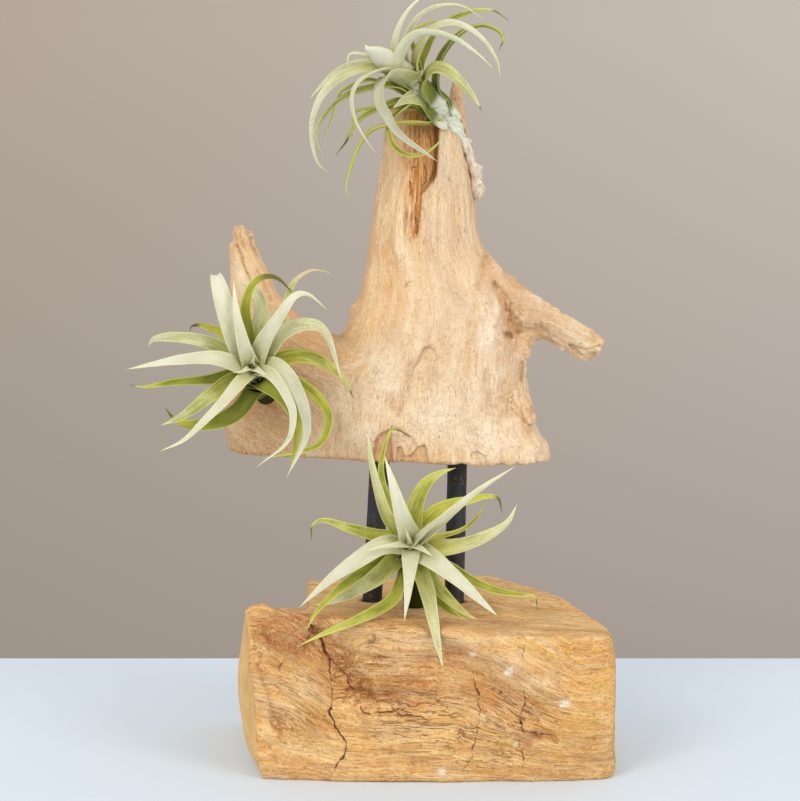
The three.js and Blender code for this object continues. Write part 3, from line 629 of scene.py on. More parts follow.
# How much silver each leaf shows where its level alone doesn't tell, from 0 for plain green to 1 for white.
LEAF_SILVER = {
    "left_leaf_08": 0.62, "left_leaf_09": 0.6, "left_leaf_10": 0.1, "left_leaf_11": 0.42,
    "left_leaf_12": 0.32, "left_leaf_13": 0.15, "left_leaf_14": 0.22, "left_leaf_15": 0.42,
    "left_leaf_16": 0.0, "left_leaf_17": 0.05, "left_leaf_18": 0.55, "left_small_leaf_2": 0.05,
    "bottom_leaf_08": 0.55, "bottom_leaf_10": 0.3, "bottom_leaf_11": 0.22, "bottom_leaf_12": 0.55,
    "bottom_leaf_13": 0.28, "bottom_leaf_14": 0.32, "bottom_leaf_15": 0.55, "bottom_leaf_16": 0.15,
    "bottom_leaf_17": 0.25, "bottom_leaf_18": 0.2, "bottom_small_leaf_3": 0.25, "bottom_small_leaf_4": 0.35,
    "bottom_small_leaf_5": 0.1,
    "top_leaf_02": 0.9, "top_leaf_03": 0.75, "top_leaf_04": 0.3, "top_leaf_05": 0.78, "top_leaf_06": 0.12,
    "top_leaf_07": 0.48, "top_leaf_08": 0.78, "top_leaf_12": 0.45, "top_leaf_13": 1.0, "top_leaf_15": 0.3,
    "top_leaf_16": 0.3, "top_leaf_17": 0.2, "top_small_leaf_1": 0.25, "top_small_leaf_3": 0.5,
}
# The share of its length over which a leaf's tip is dry, and whether that tip is dark.
DRY_TIPS = {
    "left_leaf_10": (0.5, True),
    "left_leaf_11": (0.45, False),
    "left_leaf_12": (0.12, True),
    "left_leaf_16": (0.16, True),
    "left_leaf_17": (0.06, True),
    "left_small_leaf_2": (0.2, True),
    "bottom_leaf_11": (0.22, True),
    "bottom_leaf_13": (0.18, True),
    "bottom_leaf_14": (0.16, True),
    "bottom_leaf_18": (0.14, True),
    "top_leaf_04": (0.2, True),
    "top_leaf_06": (0.1, True),
    "top_leaf_07": (0.08, True),
    "top_leaf_17": (0.3, True),
}
# How dark a green each leaf is that lies in the others' shade, from its foot to past its middle.
SHADED_LEAVES = {
    "left_leaf_10": 0.5, "left_leaf_14": 0.45, "left_leaf_16": 0.75, "left_leaf_17": 0.6,
    "left_small_leaf_2": 0.3, "bottom_leaf_10": 0.25, "bottom_leaf_16": 0.5, "bottom_leaf_17": 0.4,
    "bottom_leaf_18": 0.5, "bottom_small_leaf_4": 0.5, "bottom_small_leaf_5": 0.6,
    "top_leaf_04": 0.5, "top_leaf_06": 0.8, "top_leaf_17": 0.5, "top_small_leaf_1": 0.4,
}
# How much wider than the rest a leaf is drawn.
WIDTH_FACTORS = {
    "left_leaf_07": 1.1, "left_leaf_09": 1.3, "left_leaf_14": 1.5, "left_leaf_15": 1.4,
    "left_leaf_18": 0.95, "left_small_leaf_2": 1.6, "top_leaf_07": 1.1, "top_leaf_08": 1.3,
    "top_leaf_13": 1.25, "bottom_leaf_04": 1.15, "bottom_leaf_06": 1.2, "bottom_leaf_10": 1.05,
}
# Leaves that are turned about their length, with the direction [right, out, up] that their upper side faces.
FACING = {"left_small_leaf_2": (0.1, 0.9, -0.4), "top_small_leaf_3": (0, 0.9, 0.45)}
BLUNT_LEAVES = ("left_leaf_07", "left_leaf_18", "top_leaf_13")  # their tips curl out of sight

SEAT_GAP = 0.3
FOOT_DEPTH = 0.8  # how far inside the stem's skin a leaf starts
LEAF_STATIONS = 84
LEAF_HALF_POINTS = 6  # points from the middle of a leaf's upper side to its edge
LEAF_THICKNESS = 1.1
EDGE_THICKNESS = 0.3
LEAF_WIDTH = 1.16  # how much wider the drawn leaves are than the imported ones, which are plain strips
# How far a leaf's sheath runs down the stem, at the collar and at the growing tip, and how much wider it is
# than the blade.
SHEATHS = {"left": (9, 3.5, 0.55), "bottom": (9, 3.5, 0.55), "top": (12, 4, 0.4)}
# How far a leaf is rolled to each side, in radians: round the stem, along its blade and at its tip.
SHEATH_ANGLE = 1.15
BLADE_ANGLE = 0.42
TIP_ANGLE = 0.8
WOOLLY_SHEATHS = {"top": 0.95}  # how woolly a plant's sheaths are, where they are
LEAF_RIPPLE = 0.06  # how far the edges ripple up and down, for each millimetre of half its width
LEAF_UNEVEN = 0.05  # how much the width wavers along a leaf
FINEST_HALF_WIDTH = 0.2
THINNING = 0.6  # how much thinner a leaf is at its tip than at its foot
UNDER_WIDTH = 0.98
LEAF_SIDES = np.linspace(-1, 1, 2 * LEAF_HALF_POINTS + 1)
UNDER_SIDE = slice(-2, 0, -1)  # the under side's points run back from the edge that the upper side's end at
# The under side and each next leaf show a part of the material's pattern that lies this far on.
UNDER_SHIFT = 9.0
LEAF_SHIFT = 31.7
SMALL_LEAF_NUMBERS = 20  # what a small leaf's number has on top of its place in the list


def to_world(plant, points):
    """Points [right, out, up] of a plant's own frame in the shared frame."""
    right, out, up = np.asarray(points, float).T
    tip, turn = math.radians(-plant["tip"]), math.radians(plant["turn"])
    y = -out * math.cos(tip) - up * math.sin(tip)
    z = -out * math.sin(tip) + up * math.cos(tip)
    x = right * math.cos(turn) - y * math.sin(turn)
    y = right * math.sin(turn) + y * math.cos(turn)
    return np.stack([x, y, z], 1) + np.array(plant["place"])


def stem_path(plant):
    """Points along a stem, its direction and its radius there, which tapers to a point among the leaves."""
    stops = np.array(plant["stem"], float)
    path, ahead = curve(np.column_stack([to_world(plant, stops[:, :3]), stops[:, 3]]), STEM_STATIONS)
    taper = 1 - 0.75 * smoothstep(np.linspace(0, 1, STEM_STATIONS), 0.6, 1)
    return path[:, :3], unit(ahead[:, :3]), path[:, 3] * taper


def leaf_line(plant, leaf):
    """The corners of the line along the middle of a leaf, from its sheath on, and the side that faces in."""
    level = leaf[0]
    path, ahead, radius = stem_path(plant)
    collar, tip = to_world(plant, [plant["collar"], plant["tip_of_stem"]])
    axis = unit(tip - collar)
    on_axis = lerp(collar, tip, level)
    through = to_world(plant, leaf[2:])
    aside = through[0] - on_axis
    aside = unit(aside - axis * (aside @ axis))
    k = int(np.argmin(np.linalg.norm(path - on_axis, axis=1)))
    at_side = on_axis + aside * (radius[k] + SEAT_GAP)
    step = np.linalg.norm(path[1] - path[0])
    k = max(k - round(sheath_length(plant, level) / step), 0)
    foot_aside = unit(aside - ahead[k] * (aside @ ahead[k]))
    foot = path[k] + foot_aside * max(radius[k] - FOOT_DEPTH, 0.3 * radius[k])
    return np.vstack([foot, at_side, through]), -foot_aside


def sheath_length(plant, level):
    at_collar, at_tip, _ = SHEATHS[plant["name"]]
    return lerp(at_collar, at_tip, level)


def leaf_shape(plant, name, leaf, along_mm, length):
    """Half the width of a leaf and how strongly it is rolled, at each distance from its foot."""
    level = leaf[0]
    sheath = sheath_length(plant, level)
    share = np.clip((along_mm - sheath) / (length - sheath), 0, 1)
    strip = 1 - share**2.1
    cone = 1.12 * (1 - share) ** 0.9
    taper = lerp(strip, cone, smoothstep(level, 0.6, 0.92))
    if name in BLUNT_LEAVES:
        taper = 1 - share**4
    near_foot = 1 - smoothstep(along_mm, sheath * 0.4, sheath + 4)
    spread = SHEATHS[plant["name"]][2]
    growing = lerp(0.45, 1, smoothstep(along_mm, 0, 0.75 * sheath))
    half = leaf[1] / 2 * LEAF_WIDTH * WIDTH_FACTORS.get(name, 1) * taper * (1 + spread * near_foot) * growing
    roll = lerp(lerp(BLADE_ANGLE, TIP_ANGLE, smoothstep(share, 0.3, 1)), SHEATH_ANGLE, near_foot)
    return np.maximum(half, FINEST_HALF_WIDTH), roll, share


def leaf_section(half, roll, thick, at, number):
    """A leaf's section at a distance from its foot: how far each point lies across and up. Its upper side
    runs from edge to edge, and its under side back."""
    sides = LEAF_SIDES
    radius = half / roll
    ripple = noise(np.stack([sides * 0 + at / 5, sides * 1.5, sides * 0], 1), 100 * number + 3)
    high = radius * (1 - np.cos(roll * sides)) + LEAF_RIPPLE * half * ripple * np.abs(sides)
    wide = radius * np.sin(roll * sides)
    body = EDGE_THICKNESS * min(1, half) + thick * (1 - np.abs(sides) ** 2.4)
    under = UNDER_WIDTH * wide[UNDER_SIDE]
    return np.concatenate([wide, under]), np.concatenate([high, (high - body)[UNDER_SIDE]])


def leaf_numbers(plant, name, leaf, number, share, from_foot):
    """What the leaf material reads at points with these shares of its length and distances to its foot."""
    level = leaf[0]
    sheath = sheath_length(plant, level)
    own_tint = noise(np.array([[number * 1.37, 0.5, 0.5]]), 7)[0]
    silver = LEAF_SILVER.get(name, 0.3 + 0.55 * smoothstep(level, 0.35, 0.85))
    at_base, grown = (0.62, 0.32) if level > 0.7 else (0.42, 0.55)
    out_of_sheath = smoothstep(from_foot, 0.5 * sheath, 1.3 * sheath)
    silver = silver * lerp(at_base, 1, smoothstep(share, 0, grown)) * lerp(0.25, 1, out_of_sheath)
    reach, dark = DRY_TIPS.get(name, (0.03, False))
    tip = smoothstep(share, 1 - reach, 1 - 0.35 * reach)
    wool = (1 - smoothstep(from_foot, 0.3 * sheath, sheath + 4)) * WOOLLY_SHEATHS.get(plant["name"], 0.0)
    # Darker green from the foot on: the leaf's own green base together with painted shade between the leaves,
    # and more painted shade on leaves that lie in the others' shade.
    deep = 1 - smoothstep(from_foot, 0.6 * sheath, sheath + lerp(20, 12, level))
    shaded = SHADED_LEAVES.get(name, 0) * (1 - smoothstep(share, 0.35, 0.9))
    return {
        "along": share,
        "silver": silver + 0.1 * smoothstep(share, 0.6, 1),
        "deep": np.maximum(deep, shaded),
        "wool": wool,
        "tone": share * 0 + own_tint,
        "dry": tip * (not dark),
        "black": tip * dark,
    }


def build_leaf(plant, name, leaf, number):
    """One leaf: a sheath that wraps the stem, and a channelled blade that tapers to a fine tip."""
    line, upper = leaf_line(plant, leaf)
    if name in FACING:
        facing = to_world(plant, [(0, 0, 0), FACING[name]])
        upper = unit(facing[1] - facing[0])
    points, along = curve(line, LEAF_STATIONS)
    steps = np.linalg.norm(np.diff(points, axis=0), axis=1)
    along_mm = np.concatenate([[0], np.cumsum(steps)])
    half, roll, share = leaf_shape(plant, name, leaf, along_mm, along_mm[-1])
    zero = along_mm * 0
    uneven = noise(np.stack([along_mm / 9, zero, zero + number], 1), 100 * number)
    half = half * (1 + LEAF_UNEVEN * uneven)
    thick = LEAF_THICKNESS * (1 - THINNING * share) * np.minimum(1, half / 1.4)
    around = np.concatenate([LEAF_SIDES, LEAF_SIDES[UNDER_SIDE]])
    below = np.arange(len(around)) >= len(LEAF_SIDES)
    pattern = below * UNDER_SHIFT + number * LEAF_SHIFT
    rings, blade, inset = [], [], []
    for i, (across, upward) in enumerate(frames(along, upper)):
        wide, high = leaf_section(half[i], roll[i], thick[i], along_mm[i], number)
        rings.append(points[i] + np.outer(wide, across) + np.outer(high, upward))
        blade.append(np.stack([around * half[i], around * 0 + along_mm[i], pattern], 1))
        inset.append(half[i] * (1 - np.abs(around)))
    count = len(around)
    middles = [rings[0].mean(0), points[-1] + along[-1] * 0.4]
    numbers = leaf_numbers(plant, name, leaf, number, per_point(share, count), per_point(along_mm, count))
    numbers["inset"] = np.concatenate(inset + [[2, 0]])
    faces = loft_faces(LEAF_STATIONS, count)
    return build(name, np.vstack(rings + [middles]), faces, numbers, {"blade": with_ends(blade)})


# dull and painted_shade_wool: the near-black green of painted shade on the stems among the leaves
STEM_COLOURS = {
    "skin": tint("B9C19A"), "pale_skin": tint("DDE0D0"), "wool": tint("E9E7DC"), "dull": tint("1E2608"),
    "painted_shade_wool": tint("3C3E14"), "green": tint("8D9440"), "crust": tint("B89C7C"), "scale": tint("ECDEC8"),
}


def stem_material():
    """White wool and dry papery scales over a pale green stem. The stems of the left and bottom plants are
    painted a near-black green for the shade they stand in.
    """
    s = Shade("stem")
    tints = STEM_COLOURS
    spot = s.vector("blade")
    wool = s.noise(spot, (0.5, 1.6, 0.5), 3, 0.7)
    patch = s.noise(spot, (2.5, 6, 2.5), 2)
    colour = s.mix(s.rise(patch, 0.35, 0.65), tints["skin"], tints["pale_skin"])
    colour = s.mix(s.rise(wool, 0.45, 0.7), colour, tints["wool"])
    # painted shade on the stems of the left and bottom plants
    dull = s.mix(s.rise(wool, 0.35, 0.65), tints["dull"], tints["painted_shade_wool"])
    colour = s.mix(s.number("painted_shade_stem"), colour, dull)
    colour = s.mix(s.number("green"), colour, tints["green"])
    crust = s.mix(s.rise(wool, 0.35, 0.6), tints["crust"], tints["scale"])
    colour = s.mix(s.number("crust"), colour, crust)
    return s.finish(colour, 0.85, s.bump(wool, 0.4), Sheen_Weight=0.03, Specular_IOR_Level=0.1)


STEM_POINTS = 28
STEM_STATIONS = 60
# The root at the foot of the top plant's stem, in shares of the stem's length: where its crust fades into
# wool, the waist above it and the knob at its end, each as its middle, half its length and its depth.
CRUST_FADE = (0.3, 0.42)
WAIST = (0.3, 0.07, 0.38)
KNOB = (0.04, 0.04, 0.3)
STEM_PATTERN = (5, 60)  # how far the material's pattern spreads round a stem and along it


def build_stem(plant, material):
    """A stem: a round limb with sheath scars, and a lumpy crust where it grew as a root."""
    points, along, radius = stem_path(plant)
    is_top = plant["name"] == "top"
    t = np.linspace(0, 1, STEM_STATIONS)
    crust = is_top * (1 - smoothstep(t, *CRUST_FADE))
    waist = is_top * WAIST[2] * bell(t, *WAIST[:2])
    knob = crust * (0.1 * np.sin(43 * t) + KNOB[2] * bell(t, *KNOB[:2]))
    scars = 0.05 * np.sin(1.3 * np.arange(STEM_STATIONS)) * (1 - crust)
    cosines, sines = circle(STEM_POINTS)
    rings, spots = [], []
    for i, (across, upper) in enumerate(frames(along, np.array([0.3, 0.2, 1.0]))):
        out = np.outer(cosines, across) + np.outer(sines, upper)
        spot = points[i] + out * radius[i]
        lumps = layered(spot / lerp(3.0, 2.6, crust[i]), 41) * lerp(0.05, 0.5, crust[i])
        swelling = 0.94 + lumps + scars[i] + knob[i] - waist[i]
        rings.append(points[i] + out * (radius[i] * swelling)[:, None])
        round_it, along_it = STEM_PATTERN
        spots.append(np.stack([cosines * round_it, sines * round_it + along_it * t[i], sines * 0], 1))
    green = smoothstep(per_point(t, STEM_POINTS), 0.7, 0.85)
    # the left and bottom stems are painted dark as shade
    numbers = {"crust": per_point(crust, STEM_POINTS), "green": green, "painted_shade_stem": 0 * green + (not is_top)}
    name = plant["name"] + "_plant_stem"
    faces = loft_faces(STEM_STATIONS, STEM_POINTS)
    piece = build(name + "_wool", with_ends(rings), faces, numbers, {"blade": with_ends(spots)})
    return place(piece, material, "woolly_stem", name)


def place_leaf(plant, name, leaf, number, material, node=None):
    """A leaf: silvery near the growing tip, green further down."""
    piece = build_leaf(plant, name, leaf, number)
    if node:
        piece.name = name + "_blade"
    place(piece, material, "silver_leaf" if leaf[0] >= SILVER_LEVEL else "green_leaf", node)


def build_plant(plant, leaf_look, stem_look):
    """A plant's stem, its packed leaves and the small leaves that only the visual model has."""
    build_stem(plant, stem_look)
    first = plant["first_number"]
    for k, leaf in enumerate(plant["leaves"]):
        name = f"{plant['name']}_leaf_{k + 1:02d}"
        place_leaf(plant, name, leaf, first + k, leaf_look, name)
    for k, leaf in enumerate(plant["small_leaves"]):
        name = f"{plant['name']}_small_leaf_{k + 1}"
        place_leaf(plant, name, leaf, first + SMALL_LEAF_NUMBERS + k, leaf_look)


# ---------------------------------------------------------------- solids of wood

LEVEL_STEP = 0.5
SQUARENESS = 2.5  # a level ring of wood is a rounded box seen from above


def ring_at(z, levels):
    """The left, right, front and back of a solid at each height, smooth between its levels."""
    fine = hermite(levels, np.arange(levels[0][0], levels[-1][0] + LEVEL_STEP, LEVEL_STEP))
    return [np.interp(z, fine[:, 0], fine[:, k]) for k in (1, 2, 3, 4)]


def stack_distance(points, levels):
    """Distance to a solid through level rings, listed upwards as [z, left, right, front, back]."""
    x, y, z = points.T
    left, right, front, back = ring_at(z, levels)
    a, b = (right - left) / 2, (back - front) / 2
    u = np.abs(x - (left + right) / 2) / a
    v = np.abs(y - (front + back) / 2) / b
    r = np.maximum((u**SQUARENESS + v**SQUARENESS) ** (1 / SQUARENESS), 0.05)
    power = SQUARENESS - 1
    slope = r**-power * np.hypot(u**power / a, v**power / b)
    side = (r - 1) / np.maximum(slope, 0.3 / np.maximum(a, b))
    return carve(side, levels[-1][0] - z, 2)


def join(a, b, soft):
    """Two solids as one, with a fillet of about this width between them."""
    h = np.clip(0.5 + 0.5 * (b - a) / soft, 0, 1)
    return lerp(b, a, h) - soft * h * (1 - h)


def carve(a, b, soft):
    """The first solid without the second, with the cut's edge rounded."""
    return -join(-a, b, soft)


def limb_distance(points, stops, reach=14):
    """Distance to a round limb along a curve through [x, y, z, radius]; far off it is just a large number."""
    path, _ = curve(stops, 16)
    low, high = path[:, :3].min(0) - 2 * reach, path[:, :3].max(0) + 2 * reach
    near = ((points > low) & (points < high)).all(1)
    far = np.full(len(points), 2.0 * reach)
    gap, share = line_distance(points[near], path[:, :3])
    far[near] = gap - np.interp(share, np.linspace(0, 1, len(path)), path[:, 3])
    return far


def polygon_distance(flat, corners):
    """How far points of a plane are from a closed outline, negative inside it."""
    corners = np.asarray(corners, float)
    best = np.full(len(flat), 1e18)
    inside = np.zeros(len(flat), bool)
    for p, q in zip(corners, np.roll(corners, -1, axis=0)):
        d = q - p
        t = np.clip((flat - p) @ d / (d @ d), 0, 1)
        best = np.minimum(best, ((flat - p - t[:, None] * d) ** 2).sum(1))
        crosses = (p[1] > flat[:, 1]) != (q[1] > flat[:, 1])
        rise = d[1] if d[1] else 1
        inside ^= crosses & (flat[:, 0] < p[0] + (flat[:, 1] - p[1]) / rise * d[0])
    return np.sqrt(best) * np.where(inside, -1, 1)


def front_view(points, stray=0.0):
    """Points as x and z, in which what is drawn on the front wavers by up to about stray to either side."""
    flat = points[:, [0, 2]]
    if stray:
        level = points * [1, 0, 1]
        aside = [noise(level / 3.0, seed) + 0.35 * noise(level / 1.3, seed + 1) for seed in (21, 24)]
        flat = flat + stray * np.stack(aside, 1)
    return flat


def marks(flat, lines):
    """The strongest of the lines drawn on the front as [width, strength, (x, z), ...] at each x and z."""
    total = np.zeros(len(flat))
    for width, strength, *line in lines:
        low, high = np.min(line, 0) - width, np.max(line, 0) + width
        near = ((flat > low) & (flat < high)).all(1)
        far, share = line_distance(flat[near], line)
        taper = np.minimum(1, 0.35 + 6 * np.minimum(share, 1 - share))
        value = (1 - smoothstep(far, 0, width * taper)) * strength
        total[near] = np.maximum(total[near], value)
    return total


def patches(points, blobs, axes=(0, 2)):
    """The strongest of the soft oval patches [strength, x, z, half width, half height] at each point. With
    axes (0, 1) they lie level, and y takes the place of z."""
    total = np.zeros(len(points))
    u, v = points[:, axes[0]], points[:, axes[1]]
    for strength, x, z, wide, high in blobs:
        value = strength * np.exp(-(((u - x) / wide) ** 2) - ((v - z) / high) ** 2)
        total = np.maximum(total, value)
    return total


POSTS = {
    "left_post": {"foot_x": -26.7, "top_x": -22.4},
    "right_post": {"foot_x": 14.9, "top_x": 16.4},
}
POST_RADIUS = 5
POST_Y = 2
POST_FOOT_Z = 76
POST_TOP_Z = 154
POST_INSET = 20


def post_ends(post):
    """Both ends of a post, inside the wood."""
    foot = np.array([post["foot_x"], POST_Y, POST_FOOT_Z], float)
    top = np.array([post["top_x"], POST_Y, POST_TOP_Z], float)
    along = unit(top - foot)
    return foot - along * POST_INSET, top + along * POST_INSET


def post_holes(points):
    """Distance to the drilled holes for both posts."""
    best = np.full(len(points), 1e9)
    for post in POSTS.values():
        a, b = post_ends(post)
        along = unit(b - a)
        height = (points - a) @ along
        round_it = np.linalg.norm(points - a - height[:, None] * along, axis=1) - POST_RADIUS - SEAT_GAP
        ends = np.maximum(-height, height - np.linalg.norm(b - a)) - SEAT_GAP
        best = np.minimum(best, np.maximum(round_it, ends))
    return best


def skin_of(distance, low, high, step, rounds):
    """A skin that is refined where each of the rounds asks, and brought back onto the solid each time."""
    points, triangles = surface(distance, low, high, step)
    points = settle(points, distance)
    for wanted in rounds:
        middle = points[triangles].mean(1)
        points, triangles = refine(points, triangles, wanted(middle))
        points = settle(points, distance, rounds=1, reach=0.8, probe=0.15)
    return points, triangles


# ---------------------------------------------------------------- driftwood

DRIFT_BOX = ((-104, -31, 147), (100, 29, 349))  # the grid on which its skin is looked for
DRIFT_STEP = 2.0
DRIFT_NEAR = 6  # relief is worked out this near to the skin
# The fillets where the wing, the branch, the lumps and the splinter grow from the wood.
WING_FILLET = 8
BRANCH_FILLET = 13
LUMP_FILLET = 5
SPLINTER_FILLET = 3
# The rounding of the edges of the branch's break, of the split and of the sawn underside.
BREAK_ROUNDING = 1.2
SPLIT_ROUNDING = 0.8
UNDERSIDE_ROUNDING = 0.6
UNDERSIDE_Z = 152.2  # the sawn underside, at x = 0
UNDERSIDE_FALL = 0.03  # how far that cut falls for each millimetre to the right
TRUNK_LEVELS = [
    (140, -64, 60.5, -26, 24), (154, -63.5, 60.8, -26, 24), (158, -63, 60, -26, 24),
    (164, -61.5, 55.2, -25.7, 24), (169, -60, 53.2, -25.5, 24), (178, -57, 52, -25.3, 23.5),
    (189, -53, 49.8, -25, 23), (203, -46, 49.5, -24, 23), (216, -39.5, 49, -23, 22),
    (232, -32.5, 43, -21, 20), (244, -29.8, 36, -19.5, 18), (254, -28, 29, -18.5, 17),
    (268, -26, 25.2, -17.5, 16), (285, -23.5, 24, -16, 15), (302, -21, 21.5, -14.5, 13.5),
    (316, -19.5, 19.3, -13.5, 12.5), (324, -17.5, 16.5, -11, 10),
]
WING_LEVELS = [
    (140, -97, -10, -17, 17), (158, -99, -10, -18, 18), (168, -101.5, -11, -19, 18),
    (185, -100, -14, -19, 17), (200, -98, -24, -18, 16), (209, -97.5, -36, -16.5, 14),
    (215, -97.3, -50, -15, 13), (219, -97, -59.5, -13.5, 12), (225, -96.5, -65.5, -12, 11),
    (233, -96.3, -72.5, -11, 10), (243, -96, -77.5, -10, 9), (252, -96, -81.8, -8.5, 8),
    (259, -95.8, -84.3, -7, 6.5), (263, -95, -86.6, -5.5, 5.5), (266.6, -94.2, -88, -4, 4.2),
]
SPLINTER_LEVELS = [
    (296, 8, 21, -4, 12), (318, 10, 20, -1, 10), (330, 11.5, 18.6, 1, 9), (339, 13, 17.4, 3, 8),
    (343.5, 14, 16, 4, 6.5),
]
# The split at the top of the front, as [z, left, right, depth at its right wall].
SPLIT_LEVELS = [
    (262, -8.5, -5, 0.4), (266, -9.6, -3.4, 1.4), (275, -10.2, -2.6, 1.8), (283, -10.6, -2.2, 2),
    (287, -11, 1, 2.1), (292, -11.3, 4, 2.8), (300, -11.6, 5.4, 3.6), (316, -12, 6, 4.4),
    (330, -12, 6.5, 5),
]
SPLIT_LEFT_DEPTH = 0.2  # its depth at its left edge
BRANCH_STOPS = [
    (18, -1, 238, 15), (40, -3, 229.5, 12), (55, -4, 223, 9.2), (67, -5, 216, 7.7), (79, -5, 209.3, 6.9),
    (88, -5, 204, 5.6), (92, -5, 201.5, 5),
]
# The branch's broken end: a point of the break, and the direction in which the wood is gone.
BRANCH_BREAK = (86, -5, 206.2)
BRANCH_BREAK_OUT = unit(np.array([0.74, -0.1, -0.62]))
# Round lumps, as [x, y, z, radius]: on the trunk's right edge, on its left and on the horn's tip.
LUMPS = [
    (49.5, -8, 210.5, 3), (49.5, -9, 206, 2.6), (50, -12, 178, 3.2), (51, -12, 171.5, 3),
    (-34.5, -4, 226, 2.4), (-91.3, -2, 264, 2.3), (-88.2, -3, 260.5, 1.9), (-93.4, -2, 256.5, 1.3),
]
# Broken places on the front, as [depth, (x, z), ...] outlines.
FLAKES = [
    (2.6, (-26.5, 148), (-25, 163.5), (-22.5, 167), (-17, 169.5), (-16, 168), (-16.5, 161.5), (-15.5, 148)),
    (1.8, (-15.5, 148), (-14.5, 159), (-14, 160.5), (-11.5, 160.5), (-10, 156), (-7.5, 156.5), (-4, 160.5),
     (0, 162), (1, 158), (2.5, 148)),
    (1.0, (20, 148), (21.5, 154.5), (23, 158), (25.5, 158.5), (29.5, 156), (31, 148)),
]
ARCH_CHIP = (1.2, (-8, 194), (-5.5, 200), (-3, 205), (-2, 207.5), (-1, 209), (2, 210), (5, 208), (6.5, 204),
             (7.5, 197), (5, 180), (-0.5, 176), (-6, 184))
GROOVE_STRAY = 0.6  # how far a line on the front wavers to either side
# Lines on the front, as [width, depth, (x, z), ...].
GROOVES = [
    (1.2, 0.9, (-17, 169.5), (-14, 169), (-10.5, 167), (-7, 165)),
    (3.0, 0.9, (-1, 276), (-0.5, 256.5), (-0.5, 232)),
    (2.4, 0.6, (-6, 262), (-5, 250.5), (-5, 240)),
    (6.0, 3.2, (34, 239), (37, 229.5), (41, 221), (46, 215)),
    (2.4, 2.6, (39, 215.5), (42.5, 213)),
    (1.5, 1.0, (47.5, 201), (48, 196), (47.5, 190)),
    (1.0, 0.6, (30, 180.5), (35.5, 179), (43.5, 176.5), (51.5, 169.5)),
    (0.9, 0.7, (-11, 238), (-9, 239.5), (-7.5, 241.5)),
    (1.0, 0.8, (57.3, 221), (57.8, 215.5)),
    (1.0, 1.0, (39.2, 234), (39.6, 226)),
    (1.0, 1.0, (41.6, 231), (42.2, 223)),
    (1.3, 1.4, (70.5, 209), (75, 206.6), (78, 203.5)),
    (1.2, 1.2, (72.5, 209), (78, 207), (82.5, 207.4), (87, 209)),
    (3.4, 1.3, (31, 255), (25.5, 237), (23.5, 217.5), (22.5, 196)),
    (3.0, 1.0, (27, 232), (30.5, 217.5), (29.5, 199.5), (31, 180)),
    (3.2, 1.2, (34, 219), (37, 199.5), (40, 181), (46, 165)),
    (1.6, 1.5, (-93, 259), (-90, 250), (-87, 241), (-84, 232)),
    (1.3, 1.2, (-88, 265), (-85.5, 257.5), (-80.5, 249)),
    (1.2, 1.2, (-92, 267), (-91, 261.5), (-89.5, 256)),
    (1.2, 1.0, (-84, 247), (-79, 238), (-75, 229)),
]
# Cracks inside the split, drawn only as lines of painted shade, as [width, strength, (x, z), ...].
SPLIT_CRACK_SHADE = [
    (0.7, 0.9, (-4.6, 273), (-4.2, 268), (-4.9, 264.5)),
    (0.6, 0.8, (-7.5, 290), (-7.4, 283)),
    (0.7, 0.9, (-0.5, 297), (0.6, 290), (-1.5, 287)),
    (0.8, 0.9, (4.6, 303), (4.9, 294), (3.6, 288.5)),
    (0.6, 0.6, (-10.2, 280), (-9.8, 272)),
    (0.6, 0.6, (2.2, 312), (2.4, 303)),
]
# A small hole beside a knot: its place, its half width and half height in the skin, its depth, and the half
# width and bend of the arc of painted shade in it.
KNOT_HOLE = (40.7, 214.3)
KNOT_HOLE_SIZE = (3.2, 1.5)
KNOT_HOLE_DEPTH = 1.2
KNOT_SHADE_ARC = (2.4, 0.12)
GRAIN_HALF_WIDTH = 26  # the trunk's half width where its grain coordinates are true millimetres
# The straight grain of each limb: its direction, and the place where it leaves the wood that it grows from.
WING_GRAIN, WING_ROOT = unit(np.array([-0.86, 0.0, 0.5])), np.array([[-44.0, -10.0, 188.0]])
HORN_GRAIN, HORN_ROOT = unit(np.array([-0.4, 0.0, 0.92])), np.array([[-82.0, -10.0, 214.0]])
BRANCH_GRAIN, BRANCH_ROOT = unit(np.array([-0.88, 0.0, 0.47])), np.array([[44.0, -6.0, 226.0]])


def trunk_grain(points):
    """Grain coordinates that spread with the trunk towards its foot."""
    x, y, z = points.T
    left, right, _, _ = ring_at(z, TRUNK_LEVELS)
    spread = 2 * GRAIN_HALF_WIDTH / (right - left)
    return np.stack([(x - (left + right) / 2) * spread, y * 1.3 * spread, z], 1)


def limb_grain(points, along, root, at_root):
    """Coordinates across and along a straight grain, which are those of at_root at its root."""
    across = unit(np.cross([0, 1, 0], along))
    own = points - root
    return np.stack([own @ across, own[:, 1], own @ along], 1) + at_root


def driftwood_parts(points):
    """Distances to the trunk, the wing and the branch, each alone."""
    trunk = stack_distance(points, TRUNK_LEVELS)
    wing = stack_distance(points, WING_LEVELS)
    branch = limb_distance(points, BRANCH_STOPS)
    return trunk, wing, branch


def driftwood_grain(points, parts):
    """Grain coordinates, which follow the trunk as it spreads, the wing and its horn, and the branch."""
    trunk, wing, branch = parts
    horn_start = limb_grain(HORN_ROOT, WING_GRAIN, WING_ROOT, trunk_grain(WING_ROOT))
    in_wing = limb_grain(points, WING_GRAIN, WING_ROOT, trunk_grain(WING_ROOT))
    in_horn = limb_grain(points, HORN_GRAIN, HORN_ROOT, horn_start)
    side = lerp(in_wing, in_horn, smoothstep(points[:, 2], 200, 230)[:, None])
    grain = lerp(trunk_grain(points), side, smoothstep(trunk - wing, -10, 12)[:, None])
    in_branch = limb_grain(points, BRANCH_GRAIN, BRANCH_ROOT, trunk_grain(BRANCH_ROOT))
    return lerp(grain, in_branch, smoothstep(np.minimum(trunk, wing) - branch, -6, 8)[:, None])


